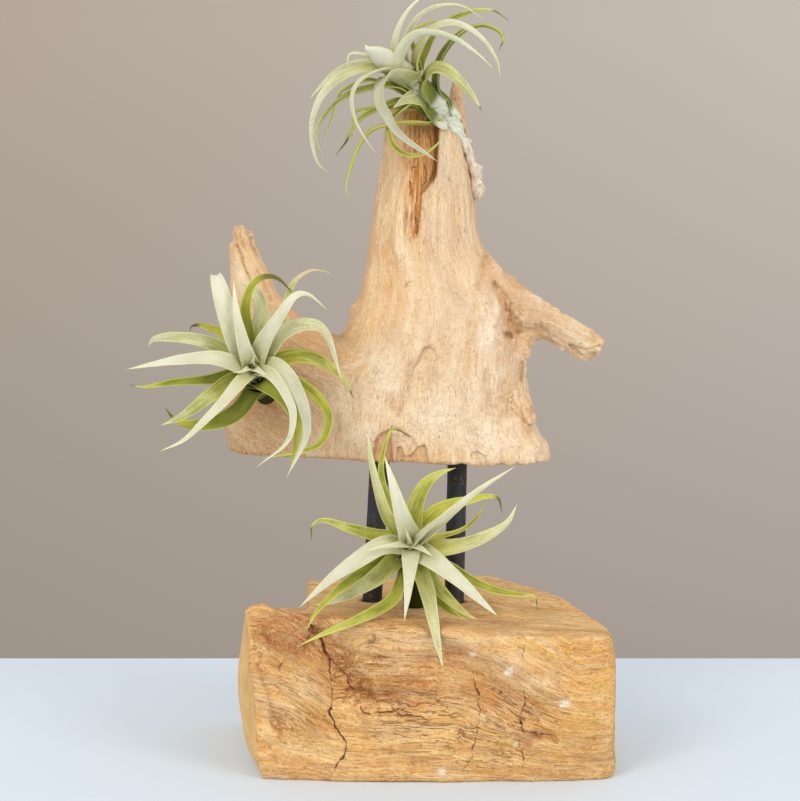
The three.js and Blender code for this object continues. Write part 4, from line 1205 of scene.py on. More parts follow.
def split_distance(points, grain):
    """Distance to the split at the top of the front, and how far across it each point is. Its floor falls
    from the left edge to the wall on the right, and is fibrous."""
    x, y, z = points.T
    left, right, deep = [np.interp(z, *np.array(SPLIT_LEVELS)[:, [0, k]].T) for k in (1, 2, 3)]
    front = ring_at(z, TRUNK_LEVELS)[2]
    fibres = 0.8 * noise(grain / [1.9, 1.9, 36], 51) + 0.45 * noise(grain / [0.8, 0.8, 16], 52)
    across = np.clip((x - left) / (right - left), 0, 1)
    floor = front + lerp(SPLIT_LEFT_DEPTH, deep, across**1.2) + fibres
    sides = np.maximum(left - x, x - right) + 0.6 * fibres
    inside = carve(sides, floor - y, SPLIT_ROUNDING)
    return np.maximum(inside, SPLIT_LEVELS[0][0] + 2 * fibres - z), across


def above_underside(points):
    """How far each point is above the sawn underside."""
    return points[:, 2] - UNDERSIDE_Z + UNDERSIDE_FALL * points[:, 0]


def driftwood_folds(points, grain):
    """How far the folds and fibres stand out of the driftwood, which is rougher on its right."""
    rough = smoothstep(points[:, 0], 12, 30) * (1 - smoothstep(points[:, 2], 240, 262))
    folds = 1.1 * layered(grain / [9, 9, 75], 11) * (0.55 + 0.9 * rough)
    folds += 0.34 * noise(grain / [3.6, 3.6, 30], 9) + 0.24 * noise(grain / [2.3, 2.3, 34], 12)
    folds += rough * (1.2 * layered(points / [6, 9, 12], 18) - 0.2)
    return folds + lerp(0.22, 0.4, rough) * layered(points / 3.5, 19)


def driftwood_body(points, parts, grain):
    """Distance to the trunk, wing, branch, lumps and splinter as one, without their relief."""
    trunk, wing, branch = parts
    gone = (points - BRANCH_BREAK) @ BRANCH_BREAK_OUT
    gone = gone + 1.3 * noise(points / 3.2, 55) + 0.6 * noise(points / 1.4, 56)
    branch = carve(branch, -gone, BREAK_ROUNDING)
    body = join(join(trunk, wing, WING_FILLET), branch, BRANCH_FILLET)
    uneven = 0.7 * noise(points / 2.4, 62)
    for *centre, radius in LUMPS:
        body = join(body, np.linalg.norm(points - centre, axis=1) - radius + uneven, LUMP_FILLET)
    splinter = stack_distance(points, SPLINTER_LEVELS) + 0.5 * noise(grain / [1.5, 1.5, 14], 61)
    return join(body, splinter, SPLINTER_FILLET)


def driftwood_relief(points, grain):
    """How far folds and fibres stand out of the body, and grooves and broken places run into its front."""
    x, y, z = points.T
    flat = front_view(points)
    front = smoothstep(-y, 1, 4)
    horn_tip = smoothstep(z, 246, 264) * (x < -60)
    relief = driftwood_folds(points, grain) + 0.12 * noise(grain / [0.9, 0.9, 11], 13)
    relief += 0.7 * layered(points / 24, 14)
    relief += horn_tip * (1.3 * noise(points / [2.6, 2.6, 4.5], 15) + 0.6 * noise(points / 1.5, 16))
    wavering = front_view(points, GROOVE_STRAY)
    for width, depth, *line in GROOVES:
        relief -= front * depth * marks(wavering, [(width, 1, *line)])
    splinters = 0.5 * noise(grain / [1.1, 1.1, 9], 17)
    for depth, *outline in FLAKES:
        relief -= front * (depth + splinters) * (1 - smoothstep(polygon_distance(flat, outline), -0.7, 0.1))
    depth, *outline = ARCH_CHIP
    fade = smoothstep(z, 178, 206) * (1 - smoothstep(x, 0, 5) * (1 - smoothstep(z, 203, 208)))
    relief -= front * depth * fade * (1 - smoothstep(polygon_distance(flat, outline), -1.0, 0.1))
    hole = np.hypot(*((flat - KNOT_HOLE) / KNOT_HOLE_SIZE).T) + 0.4 * noise(points / 2, 57)
    relief -= front * KNOT_HOLE_DEPTH * (1 - smoothstep(hole, 0.2, 1))
    return relief


def driftwood_distance(points):
    """Distance to the driftwood with its relief, its split, its sawn underside, its holes and its notch."""
    parts = driftwood_parts(points)
    grain = driftwood_grain(points, parts)
    body = driftwood_body(points, parts, grain)
    near = np.abs(body) < DRIFT_NEAR
    body[near] -= driftwood_relief(points[near], grain[near])
    body = carve(body, split_distance(points, grain)[0], SPLIT_ROUNDING)
    ragged = 0.45 * noise(points / 2.2, 71) + 0.5 * noise(points / 6, 72)
    body = carve(body, above_underside(points) + ragged, UNDERSIDE_ROUNDING)
    body = np.maximum(body, -post_holes(points))
    stops = np.array(TOP_PLANT["stem"])
    notch = np.column_stack([to_world(TOP_PLANT, stops[:, :3]), stops[:, 3] + SEAT_GAP])
    return np.maximum(body, -limb_distance(points, notch))


# Colour on the front, as lines [width, strength, (x, z), ...] and as patches [strength, x, z, half width,
# half height].
# Brown lines, partly stains and partly painted shade in the grooves and under the arch chip's lip.
DRIFT_STAIN_AND_SHADE_LINES = [
    (4, 0.6, (-8, 203), (-8, 196.5), (-10, 185.5), (-13.5, 177)),
    (3.5, 0.5, (-18.5, 187), (-16, 180.5), (-12.5, 175.5)),
    (1.4, 0.9, (-6, 199), (-3, 205.5), (-1, 209.3), (2, 210.3), (5, 208.6)),
    (2.2, 0.8, (47.5, 201), (48, 196), (47.5, 191)),
    (1.6, 0.6, (37, 235), (39, 226), (43, 219)),
    (2.5, 0.5, (31, 255), (25.5, 237)),
    (1.6, 0.5, (-19, 287), (-19, 279)),
]
# Brown patches, partly stains and partly painted shade behind the left plant's leaves and round its foot.
DRIFT_STAINS_AND_SHADE = [
    (0.8, -78, 178, 14, 9), (0.6, -66, 190, 12, 9), (0.45, 43, 229, 6, 8), (0.6, 52, 173, 4, 8),
    (0.45, -45, 205, 6, 12), (0.5, -21, 158, 5, 10), (0.5, 25, 160, 4, 3),
]
DRIFT_WARM = [
    (1.0, -19, 248, 9, 26), (1.0, -24, 222, 9, 26), (0.45, -16, 290, 5, 30), (0.8, -36, 210, 7, 14),
    (1.8, -88, 180, 24, 20), (1.3, -62, 178, 16, 16), (1.2, -62, 212, 16, 14), (0.5, -5, 157, 14, 6),
    (0.7, 52, 175, 5, 7), (0.5, -86, 250, 8, 18), (0.4, 32, 262, 5, 8),
]
DRIFT_GREY = [
    (0.9, 30, 225, 8, 22), (0.8, 34, 195, 8, 18), (0.6, 14, 265, 8, 22), (0.5, 10, 215, 8, 16),
    (0.6, 1, 285, 3, 6), (0.5, 66, 212, 14, 6), (0.5, 20, 185, 8, 14),
]
DRIFT_PALE = [
    (0.9, 8, 175, 16, 14), (0.2, 4, 240, 9, 20), (0.9, -22, 192, 11, 20), (0.9, 35, 165, 16, 9),
    (0.7, -42, 182, 10, 12), (0.6, 12, 300, 6, 12), (0.8, -30, 168, 12, 9), (0.9, 31, 218, 5, 16),
    (0.7, 38, 190, 5, 10), (0.6, -88, 240, 6, 12),
]


def driftwood_front(middle):
    """Whether a triangle is on the side that the viewer sees."""
    return middle[:, 1] < 1


def driftwood_details(middle):
    """Whether a triangle is on the front of the top, foot, branch, horn or arch."""
    x, y, z = middle.T
    top = (z > 258) & (np.abs(x) < 22)
    foot = (z < 172) & (x > -30) & (x < 36)
    branch = (x > 34) & (z > 198) & (z < 240)
    horn = (x < -80) & (z > 240)
    arch = (np.abs(x) < 12) & (np.abs(z - 198) < 16)
    return (y < -2) & (top | foot | branch | horn | arch)


def driftwood_numbers(points, grain):
    """What the wood material reads at each point of the driftwood."""
    trunk, wing, _ = driftwood_parts(points)
    x, y, z = points.T
    left, right, _, _ = ring_at(z, TRUNK_LEVELS)
    on_front = smoothstep(-y, -2, 4)
    flat = front_view(points)
    split, across = split_distance(points, grain)
    split = (1 - smoothstep(split, 0.3, 1.4)) * smoothstep(z, 259, 264) * (y < 0)
    split_tone = split * lerp(0.7, 1, smoothstep(across, 0.05, 0.45))
    # painted shadow along the split's deep right wall
    split_wall_shade = split * 0.6 * smoothstep(across, 0.84, 0.98) * smoothstep(z, 284, 294)
    broken = x * 0
    for _, *outline in FLAKES[:2]:
        broken = np.maximum(broken, 1 - smoothstep(polygon_distance(flat, outline), -1, 0))
    under = 1 - smoothstep(above_underside(points), 0.8, 2.0)
    # painted shade in the knot hole, in the narrow grooves and in the split's cracks
    aside, above = x - KNOT_HOLE[0], z - KNOT_HOLE[1]
    hole = np.hypot(aside / KNOT_SHADE_ARC[0], above - KNOT_SHADE_ARC[1] * aside**2)
    crease_shade = [(w * 0.45, min(0.3 * d, 0.45), *line) for w, d, *line in GROOVES if w < 2] + SPLIT_CRACK_SHADE
    dark = marks(front_view(points, GROOVE_STRAY), crease_shade)
    dark = np.maximum(dark, 0.5 * (1 - smoothstep(hole, 0.2, 1)))
    return {
        "spread": np.log2(np.maximum((right - left) / 2 / GRAIN_HALF_WIDTH, 1)),
        "stain_and_shade": on_front * np.maximum(marks(flat, DRIFT_STAIN_AND_SHADE_LINES), patches(points, DRIFT_STAINS_AND_SHADE)),
        "warm": patches(points, DRIFT_WARM) * on_front,
        "grey": patches(points, DRIFT_GREY),
        "pale": patches(points, DRIFT_PALE),
        "dark": on_front * np.maximum(dark, split_wall_shade),
        "inside": np.maximum(np.maximum(split_tone, broken * on_front * 0.3), 0.55 * under),
        "mottle": np.maximum(smoothstep(trunk - wing, -2, 10) * (1 - smoothstep(z, 225, 245)), 0.22),
        "relief_shade_and_highlight": driftwood_folds(points, grain),
    }


def build_driftwood(material):
    rounds = [driftwood_front, driftwood_details]
    points, triangles = skin_of(driftwood_distance, *DRIFT_BOX, DRIFT_STEP, rounds)
    grain = driftwood_grain(points, driftwood_parts(points))
    numbers = driftwood_numbers(points, grain)
    piece = build("driftwood_grained", points, triangles.tolist(), numbers, {"grain": grain})
    return place(piece, material, "driftwood", "driftwood")


# ---------------------------------------------------------------- base block

BASE_BOX = ((-104, -66, -3), (100, 66, 94))  # the grid on which its skin is looked for
BASE_STEP = 2.2
BASE_NEAR = 8  # relief is worked out this near to the skin
# The rounding of the foot's edges, of the sawn left end's and of the step's, outside and at its foot.
FOOT_ROUNDING = 0.8
LEFT_END_ROUNDING = 1.2
STEP_ROUNDING = 2.0
STEP_FILLET = 1.5
# The block's outline from above, anticlockwise from the front left; its left end is cut off by LEFT_END.
BASE_OUTLINE = [
    (-102, -50), (-80, -51.5), (-40, -55), (5, -57), (50, -55), (88, -51), (92.5, -42), (92.5, -22),
    (87, 2), (72, 34), (56, 51), (10, 57.5), (-45, 57), (-100, 53), (-106, 40), (-106, 0), (-106, -40),
]
# How far out the sides stand at each height, against that outline, as [z, share].
BASE_SIDE = [(0, 0.985), (2, 0.995), (14, 1.005), (36, 1.012), (56, 1.005), (68, 0.99), (96, 0.985)]
# The height of the top along its front and back edges, as [x, z].
FRONT_EDGE = [(-110, 96), (-84, 92), (-70, 87), (-58, 82), (-9, 77.3), (46, 71.2), (110, 70.5)]
BACK_EDGE = [(-110, 80), (-60, 76.5), (35, 79.8), (58, 75), (110, 67)]
EDGE_Y = 56  # the y of the back edge, and of the front edge with a minus sign
# The sawn left end, as [z, x at its front edge, x where it bulges furthest].
LEFT_END = [
    (0, -79.5, -84), (5.5, -81.5, -87.7), (21, -82.7, -91.6), (34, -83.1, -93.2), (48, -84.2, -93.3),
    (60, -85.3, -91.7), (72, -85.9, -90), (83, -87.5, -88.6), (96, -88.5, -88.5),
]
# The left end's top, beyond a step that runs from front to back, falls away from the viewer.
STEP_X = -59
STEP_SLANT = 0.052  # how far the step moves to the left for each millimetre away from the viewer
LEFT_END_FRONT_Z = 83
LEFT_END_FALL = 0.2
LEFT_END_LUMP = (4.2, -79.5, -46, 7.5, 12)  # height, x, y, half width and half depth of its highest place
TOP_ROUNDING = (2.5, 6.0)  # of the top's edges, on the left and on the right
# The grid seen from above on which distances to the outline are kept.
PLAN_CELL = 1.5
PLAN_LOW = (-112.0, -74.0)
PLAN_CELLS = (150, 100)


def make_plan():
    """Signed distances to the block's outline seen from above, on a grid that plan_distance reads."""
    outline = curve(BASE_OUTLINE, 200, tension=0.35, closed=True)[0][:-1]
    axes = [low + PLAN_CELL * np.arange(n) for low, n in zip(PLAN_LOW, PLAN_CELLS)]
    flat = np.stack(np.meshgrid(*axes, indexing="ij"), -1).reshape(-1, 2)
    return polygon_distance(flat, outline).reshape(PLAN_CELLS)


PLAN = make_plan()


def plan_distance(flat):
    """Distance to the block's outline seen from above, read from the grid."""
    place_in = (flat - np.array(PLAN_LOW)) / PLAN_CELL
    cell = np.clip(np.floor(place_in).astype(int), 0, np.array(PLAN_CELLS) - 2)
    u, v = np.clip(place_in - cell, 0, 1).T
    i, j = cell.T
    low = lerp(PLAN[i, j], PLAN[i + 1, j], u)
    return lerp(low, lerp(PLAN[i, j + 1], PLAN[i + 1, j + 1], u), v)


# Cracks on the front, as [width, depth, (x, z), ...].
CRACKS = [
    (1.5, 2.6, (-57, 80), (-55.4, 77.3), (-52.5, 72.5), (-51.1, 69.4), (-48.5, 63), (-46.3, 57.5)),
    (0.8, 1.2, (-47.2, 60), (-46.1, 52.8), (-44.8, 43), (-45.2, 38.8), (-47.4, 36.1), (-43.5, 27),
     (-38.4, 20), (-38, 16.5), (-40.5, 11.6), (-47, 2.5)),
    (0.9, 1.3, (-47.4, 61.1), (-40.7, 53.8), (-37, 47.9), (-34, 41.7), (-30.2, 35.4), (-25.5, 32.6)),
    (0.5, 0.5, (-69.1, 61.1), (-71.9, 53.6)),
    (0.8, 0.7, (-24.6, 35.2), (-16.4, 35.5), (-6.7, 33.2), (2, 31.9)),
    (0.8, 1.2, (20.8, 59), (22.6, 55.5), (23.6, 50), (25.3, 44.4), (26.2, 36), (25.1, 27.7), (23.7, 20.7),
     (22.4, 12.3), (18.3, 6)),
    (0.75, 1.1, (46.9, 46.5), (47.6, 39.5), (46.1, 32.5), (47.4, 24.2)),
    (0.6, 0.6, (45.9, 22.8), (45.2, 16.5)),
    (0.65, 0.8, (47, 15.8), (46.9, 7.4)),
    (0.5, 0.4, (47.6, 68), (47.3, 61.1)),
    (1.2, 1.2, (51.5, 25), (55, 23.6), (59, 23)),
    (0.8, 0.7, (80.2, 55.3), (80.9, 53)),
]
# Hollows and, with a minus sign, swellings of the front, as [width, depth, (x, z), ...].
FRONT_SWEEPS = [
    (13, 5.5, (-54, 74), (-48, 65), (-41, 54), (-33, 45), (-27, 41)),
    (8, 2.4, (-26, 43.5), (-14, 42), (-2, 39), (8, 38)),
    (9, -3.4, (8, 75), (22, 70), (38, 61), (52, 51), (66, 43)),
    (6, 1.8, (2, 62), (16, 58), (30, 49), (44, 38), (54, 30)),
    (9, -1.8, (-78, 76), (-66, 74)),
    (8, 1.2, (8, 66), (18, 62), (30, 55)),
    (5, 1.6, (52, 24.5), (58, 23), (63, 22)),
    (8, -1.2, (-52, 78), (-30, 77), (0, 74)),
    (6, 1.4, (-80, 76), (-76, 60), (-72, 44)),
]
CRACK_STRAY = 0.8  # how far a crack wavers to either side
CRACK_WIDTH = 0.6  # of each crack in the skin, as a share of the width listed
CRACK_DEPTH = 0.7
BASE_KNOT = (-26.8, 71.3)
KNOT_RADIUS = 2.3
BASE_POST_CENTRE = (15, 2)  # the grain on top bends round the right post
GRAIN_BEND = (9, 24, 20)  # by how much, and over which half width and half depth


def base_top(points):
    """The height of the block's top at each point."""
    x, y, _ = points.T
    front = np.interp(x, *np.array(FRONT_EDGE).T)
    back = np.interp(x, *np.array(BACK_EDGE).T)
    return lerp(front, back, (y + EDGE_Y) / (2 * EDGE_Y))


def base_grain(points):
    """Grain coordinates of the block: it runs from left to right, slopes down on the right of the front and
    falls steeply on its left, and bends round the right post on top."""
    x, y, z = points.T
    to_front = 1 - smoothstep(y, -46, -32)
    left = -20 * np.tanh(np.maximum(-45 - x, 0) / 26) * smoothstep(z, 0, 42)
    right = 0.4 * (smoothstep(x, 8, 80) * 72) * lerp(0.3, 1, smoothstep(z, 0, 30))
    wave = 2.2 * noise(points / [26, 26, 14], 81) + 0.8 * noise(points / [9, 12, 6], 82)
    level = z + to_front * (left + right) + wave
    bend, half_width, half_depth = GRAIN_BEND
    bend = patches(points, [(bend, *BASE_POST_CENTRE, half_width, half_depth)], axes=(0, 1))
    depth = y + bend * np.sign(y - BASE_POST_CENTRE[1]) + 1.5 * wave
    return np.stack([level, depth, x], 1)


def left_end(points):
    """The x of the sawn left end at the depth and height of each point."""
    _, y, z = points.T
    ends = hermite(LEFT_END, z)
    return lerp(ends[:, 1], ends[:, 2], smoothstep(y, -52, -18)) - 0.02 * np.maximum(y + 20, 0)


def sawn_end(points):
    """1 on the smooth sawn face at the left end, 0 on the weathered wood."""
    behind_front = smoothstep(points[:, 1], -51.5, -49.5)
    return (1 - smoothstep(points[:, 0] - left_end(points), 1.0, 2.0)) * behind_front


def base_fibres(grain):
    """How far the fibres stand out of the weathered faces."""
    fibres = 0.34 * noise(grain / [2.1, 2.1, 26], 93) + 0.3 * layered(grain / [4.5, 4.5, 50], 94)
    return fibres + 0.14 * noise(grain / [0.9, 0.9, 10], 95)


def base_body(points):
    """Distance to the block with its rounded top, its lower left end beyond the step, and the sawn face."""
    x, y, z = points.T
    scale = hermite(BASE_SIDE, z)[:, 1]
    side = plan_distance(points[:, :2] / scale[:, None]) * scale
    body = carve(side, base_top(points) - z, lerp(*TOP_ROUNDING, smoothstep(x, 50, 85)))
    left_top = LEFT_END_FRONT_Z - LEFT_END_FALL * (y + 50) + patches(points, [LEFT_END_LUMP], axes=(0, 1))
    left_top = left_top + 0.8 * noise(points / 4, 91)
    step_x = STEP_X - STEP_SLANT * y
    body = carve(body, carve(x - step_x, z - left_top, STEP_FILLET), STEP_ROUNDING)
    return carve(body, x - left_end(points), LEFT_END_ROUNDING)


def base_relief(points):
    """How far fibres, swellings and the knot stand out of the block, and hollows and cracks run into it."""
    x, y, z = points.T
    front = 1 - smoothstep(y, -42, -36)
    wild = 1 - sawn_end(points)
    on_top = smoothstep(z, 66, 72) * (1 - front)
    relief = 0.9 * layered(points / 30, 92) * wild
    fibres = lerp(1, 0.4, on_top) * base_fibres(base_grain(points))
    relief += wild * (fibres + 0.35 * layered(points / 5, 96) * front)
    flat, wavering = front_view(points), front_view(points, CRACK_STRAY)
    for width, depth, *line in FRONT_SWEEPS:
        relief -= front * depth * marks(flat, [(width, 1, *line)])
    for width, depth, *line in CRACKS:
        relief -= front * CRACK_DEPTH * depth * marks(wavering, [(CRACK_WIDTH * width, 1, *line)])
    knot = np.hypot(x - BASE_KNOT[0], z - BASE_KNOT[1])
    return relief + front * (1.2 * bell(knot, 0, 1.6) - 0.8 * bell(knot, KNOT_RADIUS, 0.8))


def base_distance(points):
    """Distance to the block with its relief, its flat foot and its holes."""
    body = base_body(points)
    near = np.abs(body) < BASE_NEAR
    body[near] -= base_relief(points[near])
    body = carve(body, points[:, 2], FOOT_ROUNDING)
    return np.maximum(body, -post_holes(points))


SHADE_AND_STAIN_STRAY = 1.5  # how far a line of stain and painted shade wavers to either side
CRACK_SHADE_WIDTH = 0.62  # of each crack's line of painted shade, as a share of the width listed
WIDEST_CRACK_SHADE = 0.58
# Brown lines on the front: partly stains, partly painted shade along the hollows, a crack and the pocket.
BASE_STAIN_AND_SHADE_LINES = [
    (9, 0.9, (-56, 76), (-50, 67), (-44, 58), (-36, 47), (-27, 42)),
    (6, 0.7, (-28, 42), (-14, 41), (0, 38)),
    (2, 0.8, (-24.6, 35.2), (-16.4, 35.5), (-6.7, 33.2), (2, 31.9)),
    (4, 0.9, (50, 24), (58, 22.5), (64, 21)),
    (5, 0.6, (33, 31), (44, 25), (50, 19)),
    (3, 0.7, (-84, 72), (-80, 55), (-76, 40), (-70, 20)),
    (2, 0.6, (4, 63), (20, 57), (36, 49), (52, 40), (62, 31)),
    (1.6, 0.6, (-20, 68), (-4, 64), (10, 62)),
    (2, 0.5, (8, 47), (24, 41), (40, 32)),
]
# Brown patches on the front: stains, and painted shade along the hollow that runs down from the lobe.
BASE_STAINS_AND_SHADE = [
    (1.0, -60, 69, 13, 10), (0.85, -44, 62, 11, 10), (0.9, -18, 45, 9, 6), (0.8, -66, 79, 14, 5),
    (0.7, 12, 64, 10, 3.5), (0.55, 32, 7, 6, 2), (0.4, -75, 60, 7, 13), (0.7, 2, 46, 18, 6),
    (0.3, -70, 8, 12, 6), (0.6, -24, 62, 12, 7), (0.5, 34, 42, 12, 5), (0.3, -52, 30, 8, 12),
    (0.7, -5, 52, 22, 5), (1.0, -31, 47, 7, 8), (1.0, -42, 60, 8, 12), (0.8, -56, 66, 14, 7),
    (0.7, 20, 46, 16, 4), (0.9, -72, 72, 12, 14), (0.9, -62, 80, 18, 8), (0.35, 4, 62, 40, 8),
]
BASE_WARM = [
    (1.0, 88, 50, 7, 14), (0.8, 84, 62, 12, 8), (0.7, 60, 66, 26, 8), (0.7, 75, 30, 14, 14),
    (0.6, -60, 20, 22, 16), (0.5, -60, 60, 16, 12),
]
# Pale places: bleached wood and bare spots, and a painted highlight along the front's top edge.
BASE_PALE_AND_HIGHLIGHT = [
    (0.9, 38, 61, 14, 4), (0.8, 55, 50, 10, 4), (0.6, 66, 42, 6, 4), (0.8, -35, 74, 16, 4),
    (0.7, -5, 70, 16, 5), (0.6, -10, 60, 12, 6), (0.6, 22.5, 63.5, 4, 2.5), (1.0, 39.9, 55.5, 3.4, 2.4),
    (0.9, 67.1, 39.5, 3.2, 3.2), (0.6, 37.8, 37.7, 3, 2.5), (0.8, 43.5, 19.3, 3, 2.5),
    (0.7, 88.4, 17.9, 2.5, 4), (0.7, 7.8, 5.3, 5, 3), (0.6, 12, 51.3, 6, 2.5), (0.7, -80, 56, 2.5, 14),
    (0.5, -77, 30, 3, 12), (0.6, 30, 71, 40, 2.5), (0.6, -62, 45, 10, 10), (0.5, -60, 15, 14, 8),
]
# Small spots of bare pale wood, as [radius, x, z].
BASE_SPOTS = [(2.6, 39.9, 55.5), (2.7, 67.1, 39.5), (1.8, 22.5, 63.5), (2.2, 7.8, 5.3), (1.7, 43.5, 19.3)]
BASE_GREY = [
    (0.9, -26.8, 71, 4, 4), (0.8, -24, 63, 9, 4.5), (0.5, -40, 68, 7, 4), (0.7, 14, 68, 16, 4),
    (0.6, 60, 35, 9, 5), (0.7, 40, 54, 16, 7),
]
# Where the grain shows as long dark lines.
BASE_LINED = [
    (1.0, -5, 36, 32, 12), (1.0, 40, 34, 26, 12), (0.9, 10, 24, 45, 12), (0.7, -62, 35, 16, 22),
    (0.8, 35, 12, 25, 8), (0.5, -20, 60, 40, 12), (0.8, -40, 48, 14, 14),
]
# Stains on the top, some of them painted shadow where leaves hang over it, as [strength, x, y, half width,
# half depth].
TOP_STAINS_AND_SHADOWS = [
    (0.7, 38, -30, 12, 3), (0.5, 5, -8, 20, 5), (0.5, -30, -20, 16, 4), (0.4, 60, 5, 14, 5),
    (0.5, 16, 12, 8, 5),
]


def base_front(middle):
    """Whether a triangle is on the front or near it, above the foot."""
    return (middle[:, 1] < -34) & (middle[:, 2] > 0.5)


def near_cracks(middle):
    """Whether a triangle of the front is near a crack, the knot or the upper edge."""
    near = marks(front_view(middle), [(3.5, 1, *line) for _, _, *line in CRACKS]) > 0.05
    knot = np.hypot(middle[:, 0] - BASE_KNOT[0], middle[:, 2] - BASE_KNOT[1]) < 7
    return (middle[:, 1] < -40) & (near | knot | (middle[:, 2] > 70))


def in_cracks(middle):
    """Whether a triangle of the front is in a crack."""
    lines = [(1.6, 1, *line) for _, _, *line in CRACKS]
    return (middle[:, 1] < -40) & (marks(front_view(middle, CRACK_STRAY), lines) > 0.1)


def base_numbers(points, grain):
    """What the wood material reads at each point of the block."""
    x, y, z = points.T
    front = 1 - smoothstep(y, -46, -36)
    top = smoothstep(z, 62, 68) * (1 - front)
    stain_and_shade = np.maximum(marks(front_view(points, SHADE_AND_STAIN_STRAY), BASE_STAIN_AND_SHADE_LINES), patches(points, BASE_STAINS_AND_SHADE))
    # Painted shade in the cracks, and on the knot's lower right side where its ring falls into shade.
    cracks = [(min(w * CRACK_SHADE_WIDTH, WIDEST_CRACK_SHADE), min(1, 0.7 + d / 2), *line) for w, d, *line in CRACKS]
    aside, above = x - BASE_KNOT[0], z - BASE_KNOT[1]
    knot_rim_shade = bell(np.hypot(aside, above), 2.2, 0.7) * smoothstep(aside - 0.4 * above, -2, 1.5)
    spots = x * 0
    for radius, spot_x, spot_z in BASE_SPOTS:
        away = np.hypot(x - spot_x, z - spot_z) + 0.5 * radius * noise(points / 1.6, 98)
        spots = np.maximum(spots, 1 - smoothstep(away, 0.55 * radius, radius))
    return {
        "spread": x * 0,
        "stain_and_shade": np.maximum(front * stain_and_shade, top * patches(points, TOP_STAINS_AND_SHADOWS, axes=(0, 1))),
        "warm": np.maximum(patches(points, BASE_WARM) * front, 0.8 * top),
        "grey": patches(points, BASE_GREY) * front,
        # pale: bleached places, a painted highlight along the front's top edge, and a paler top
        "pale": np.maximum(patches(points, BASE_PALE_AND_HIGHLIGHT) * front, 0.4 * top),
        "dark": front * np.maximum(marks(front_view(points, CRACK_STRAY), cracks), 0.6 * knot_rim_shade),
        "inside": x * 0,
        "mottle": 0.3 * front,
        "relief_shade_and_highlight": 1.6 * base_fibres(grain),
        "lined": np.maximum(front * np.maximum(patches(points, BASE_LINED), 0.25), 0.5 * top),
        "sawn": sawn_end(points),
        "bare": front * spots,
    }


def build_base(material):
    rounds = [base_front, near_cracks, in_cracks]
    points, triangles = skin_of(base_distance, *BASE_BOX, BASE_STEP, rounds)
    grain = base_grain(points)
    numbers = base_numbers(points, grain)
    piece = build("base_block_grained", points, triangles.tolist(), numbers, {"grain": grain})
    return place(piece, material, "sawn_wood", "base_block")


# ---------------------------------------------------------------- wood and iron materials

SPREAD_SCALE = 2.2  # how much narrower streaks are made where the grain coordinates are spread twofold
# In both woods stain_and_shade is a brown for stains and for painted shade, and dark is painted shade in
# cracks, creases and holes.
DRIFT_COLOURS = {
    "light": tint("EBD0A7"), "middle": tint("E2BC8F"), "line": tint("C79866"), "dash": tint("946238"),
    "stain_and_shade": tint("B97F52"), "warm": tint("E6B060"), "grey": tint("CDAE95"), "pale": tint("F8E6C8"),
    "dark": tint("4A2A12"), "inside": tint("E29A44"), "inside_line": tint("A0602A"), "mottle": tint("D8A070"),
}
BASE_COLOURS = {
    "light": tint("F7CB88"), "middle": tint("E7AE64"), "line": tint("BA7A3A"), "dash": tint("7E4820"),
    "stain_and_shade": tint("9A501A"), "warm": tint("EEB850"), "grey": tint("C39E78"), "pale": tint("F6D8A8"),
    "dark": tint("4A2A16"), "inside": tint("C08040"), "inside_line": tint("6E3F18"), "mottle": tint("CB9762"),
    "cut": tint("EFC686"), "cut_band": tint("E6B978"), "bare": tint("F6EAD2"),
}
# How strongly the dashes, the hair-thin pores and the grit of each wood show.
DRIFT_MARKS = {"dash_amount": 0.5, "hair_amount": 0.2, "grit_amount": 0.3}
BASE_MARKS = {"dash_amount": 0.55, "hair_amount": 0.25, "grit_amount": 0.4}


def grain_streaks(s, size, length, detail=2.0):
    """Streaks along the grain, which keep their size where the grain coordinates spread."""
    grain, spread = s.vector("grain"), s.number("spread")
    wide = s.noise(grain, (size, size, length), detail)
    narrow = s.noise(grain, (size / SPREAD_SCALE, size / SPREAD_SCALE, length), detail)
    return s.add(s.share(wide, s.math("SUBTRACT", 1.0, spread, clamp=True)),
                 s.share(narrow, s.math("MINIMUM", spread, 1.0)))


def painted_places(s, colour, colours, middle, fine, cloud, speck):
    """The colours of the painted places, each with the pattern that breaks it up and its amount. Among them
    are stains that are partly painted shade, and pale places that are partly a painted highlight.
    """
    for key, pattern, low, high, amount in (
        ("warm", s.add(s.share(fine, 0.8), middle), 0.78, 1.08, 0.9),
        ("grey", s.add(middle, cloud), 0.8, 1.15, 0.8),
        ("pale", s.add(speck, cloud), 0.75, 1.1, 1.0),
        ("stain_and_shade", s.add(middle, speck), 0.55, 1.1, 1.0),
        ("mottle", speck, 0.42, 0.62, 0.8),
    ):
        painted = s.share(s.number(key), s.rise(pattern, low, high))
        colour = s.mix(s.share(painted, amount), colour, colours[key])
    inside = s.mix(s.rise(s.add(middle, fine), 0.85, 1.2), colours["inside"], colours["inside_line"])
    return s.mix(s.number("inside"), colour, inside)


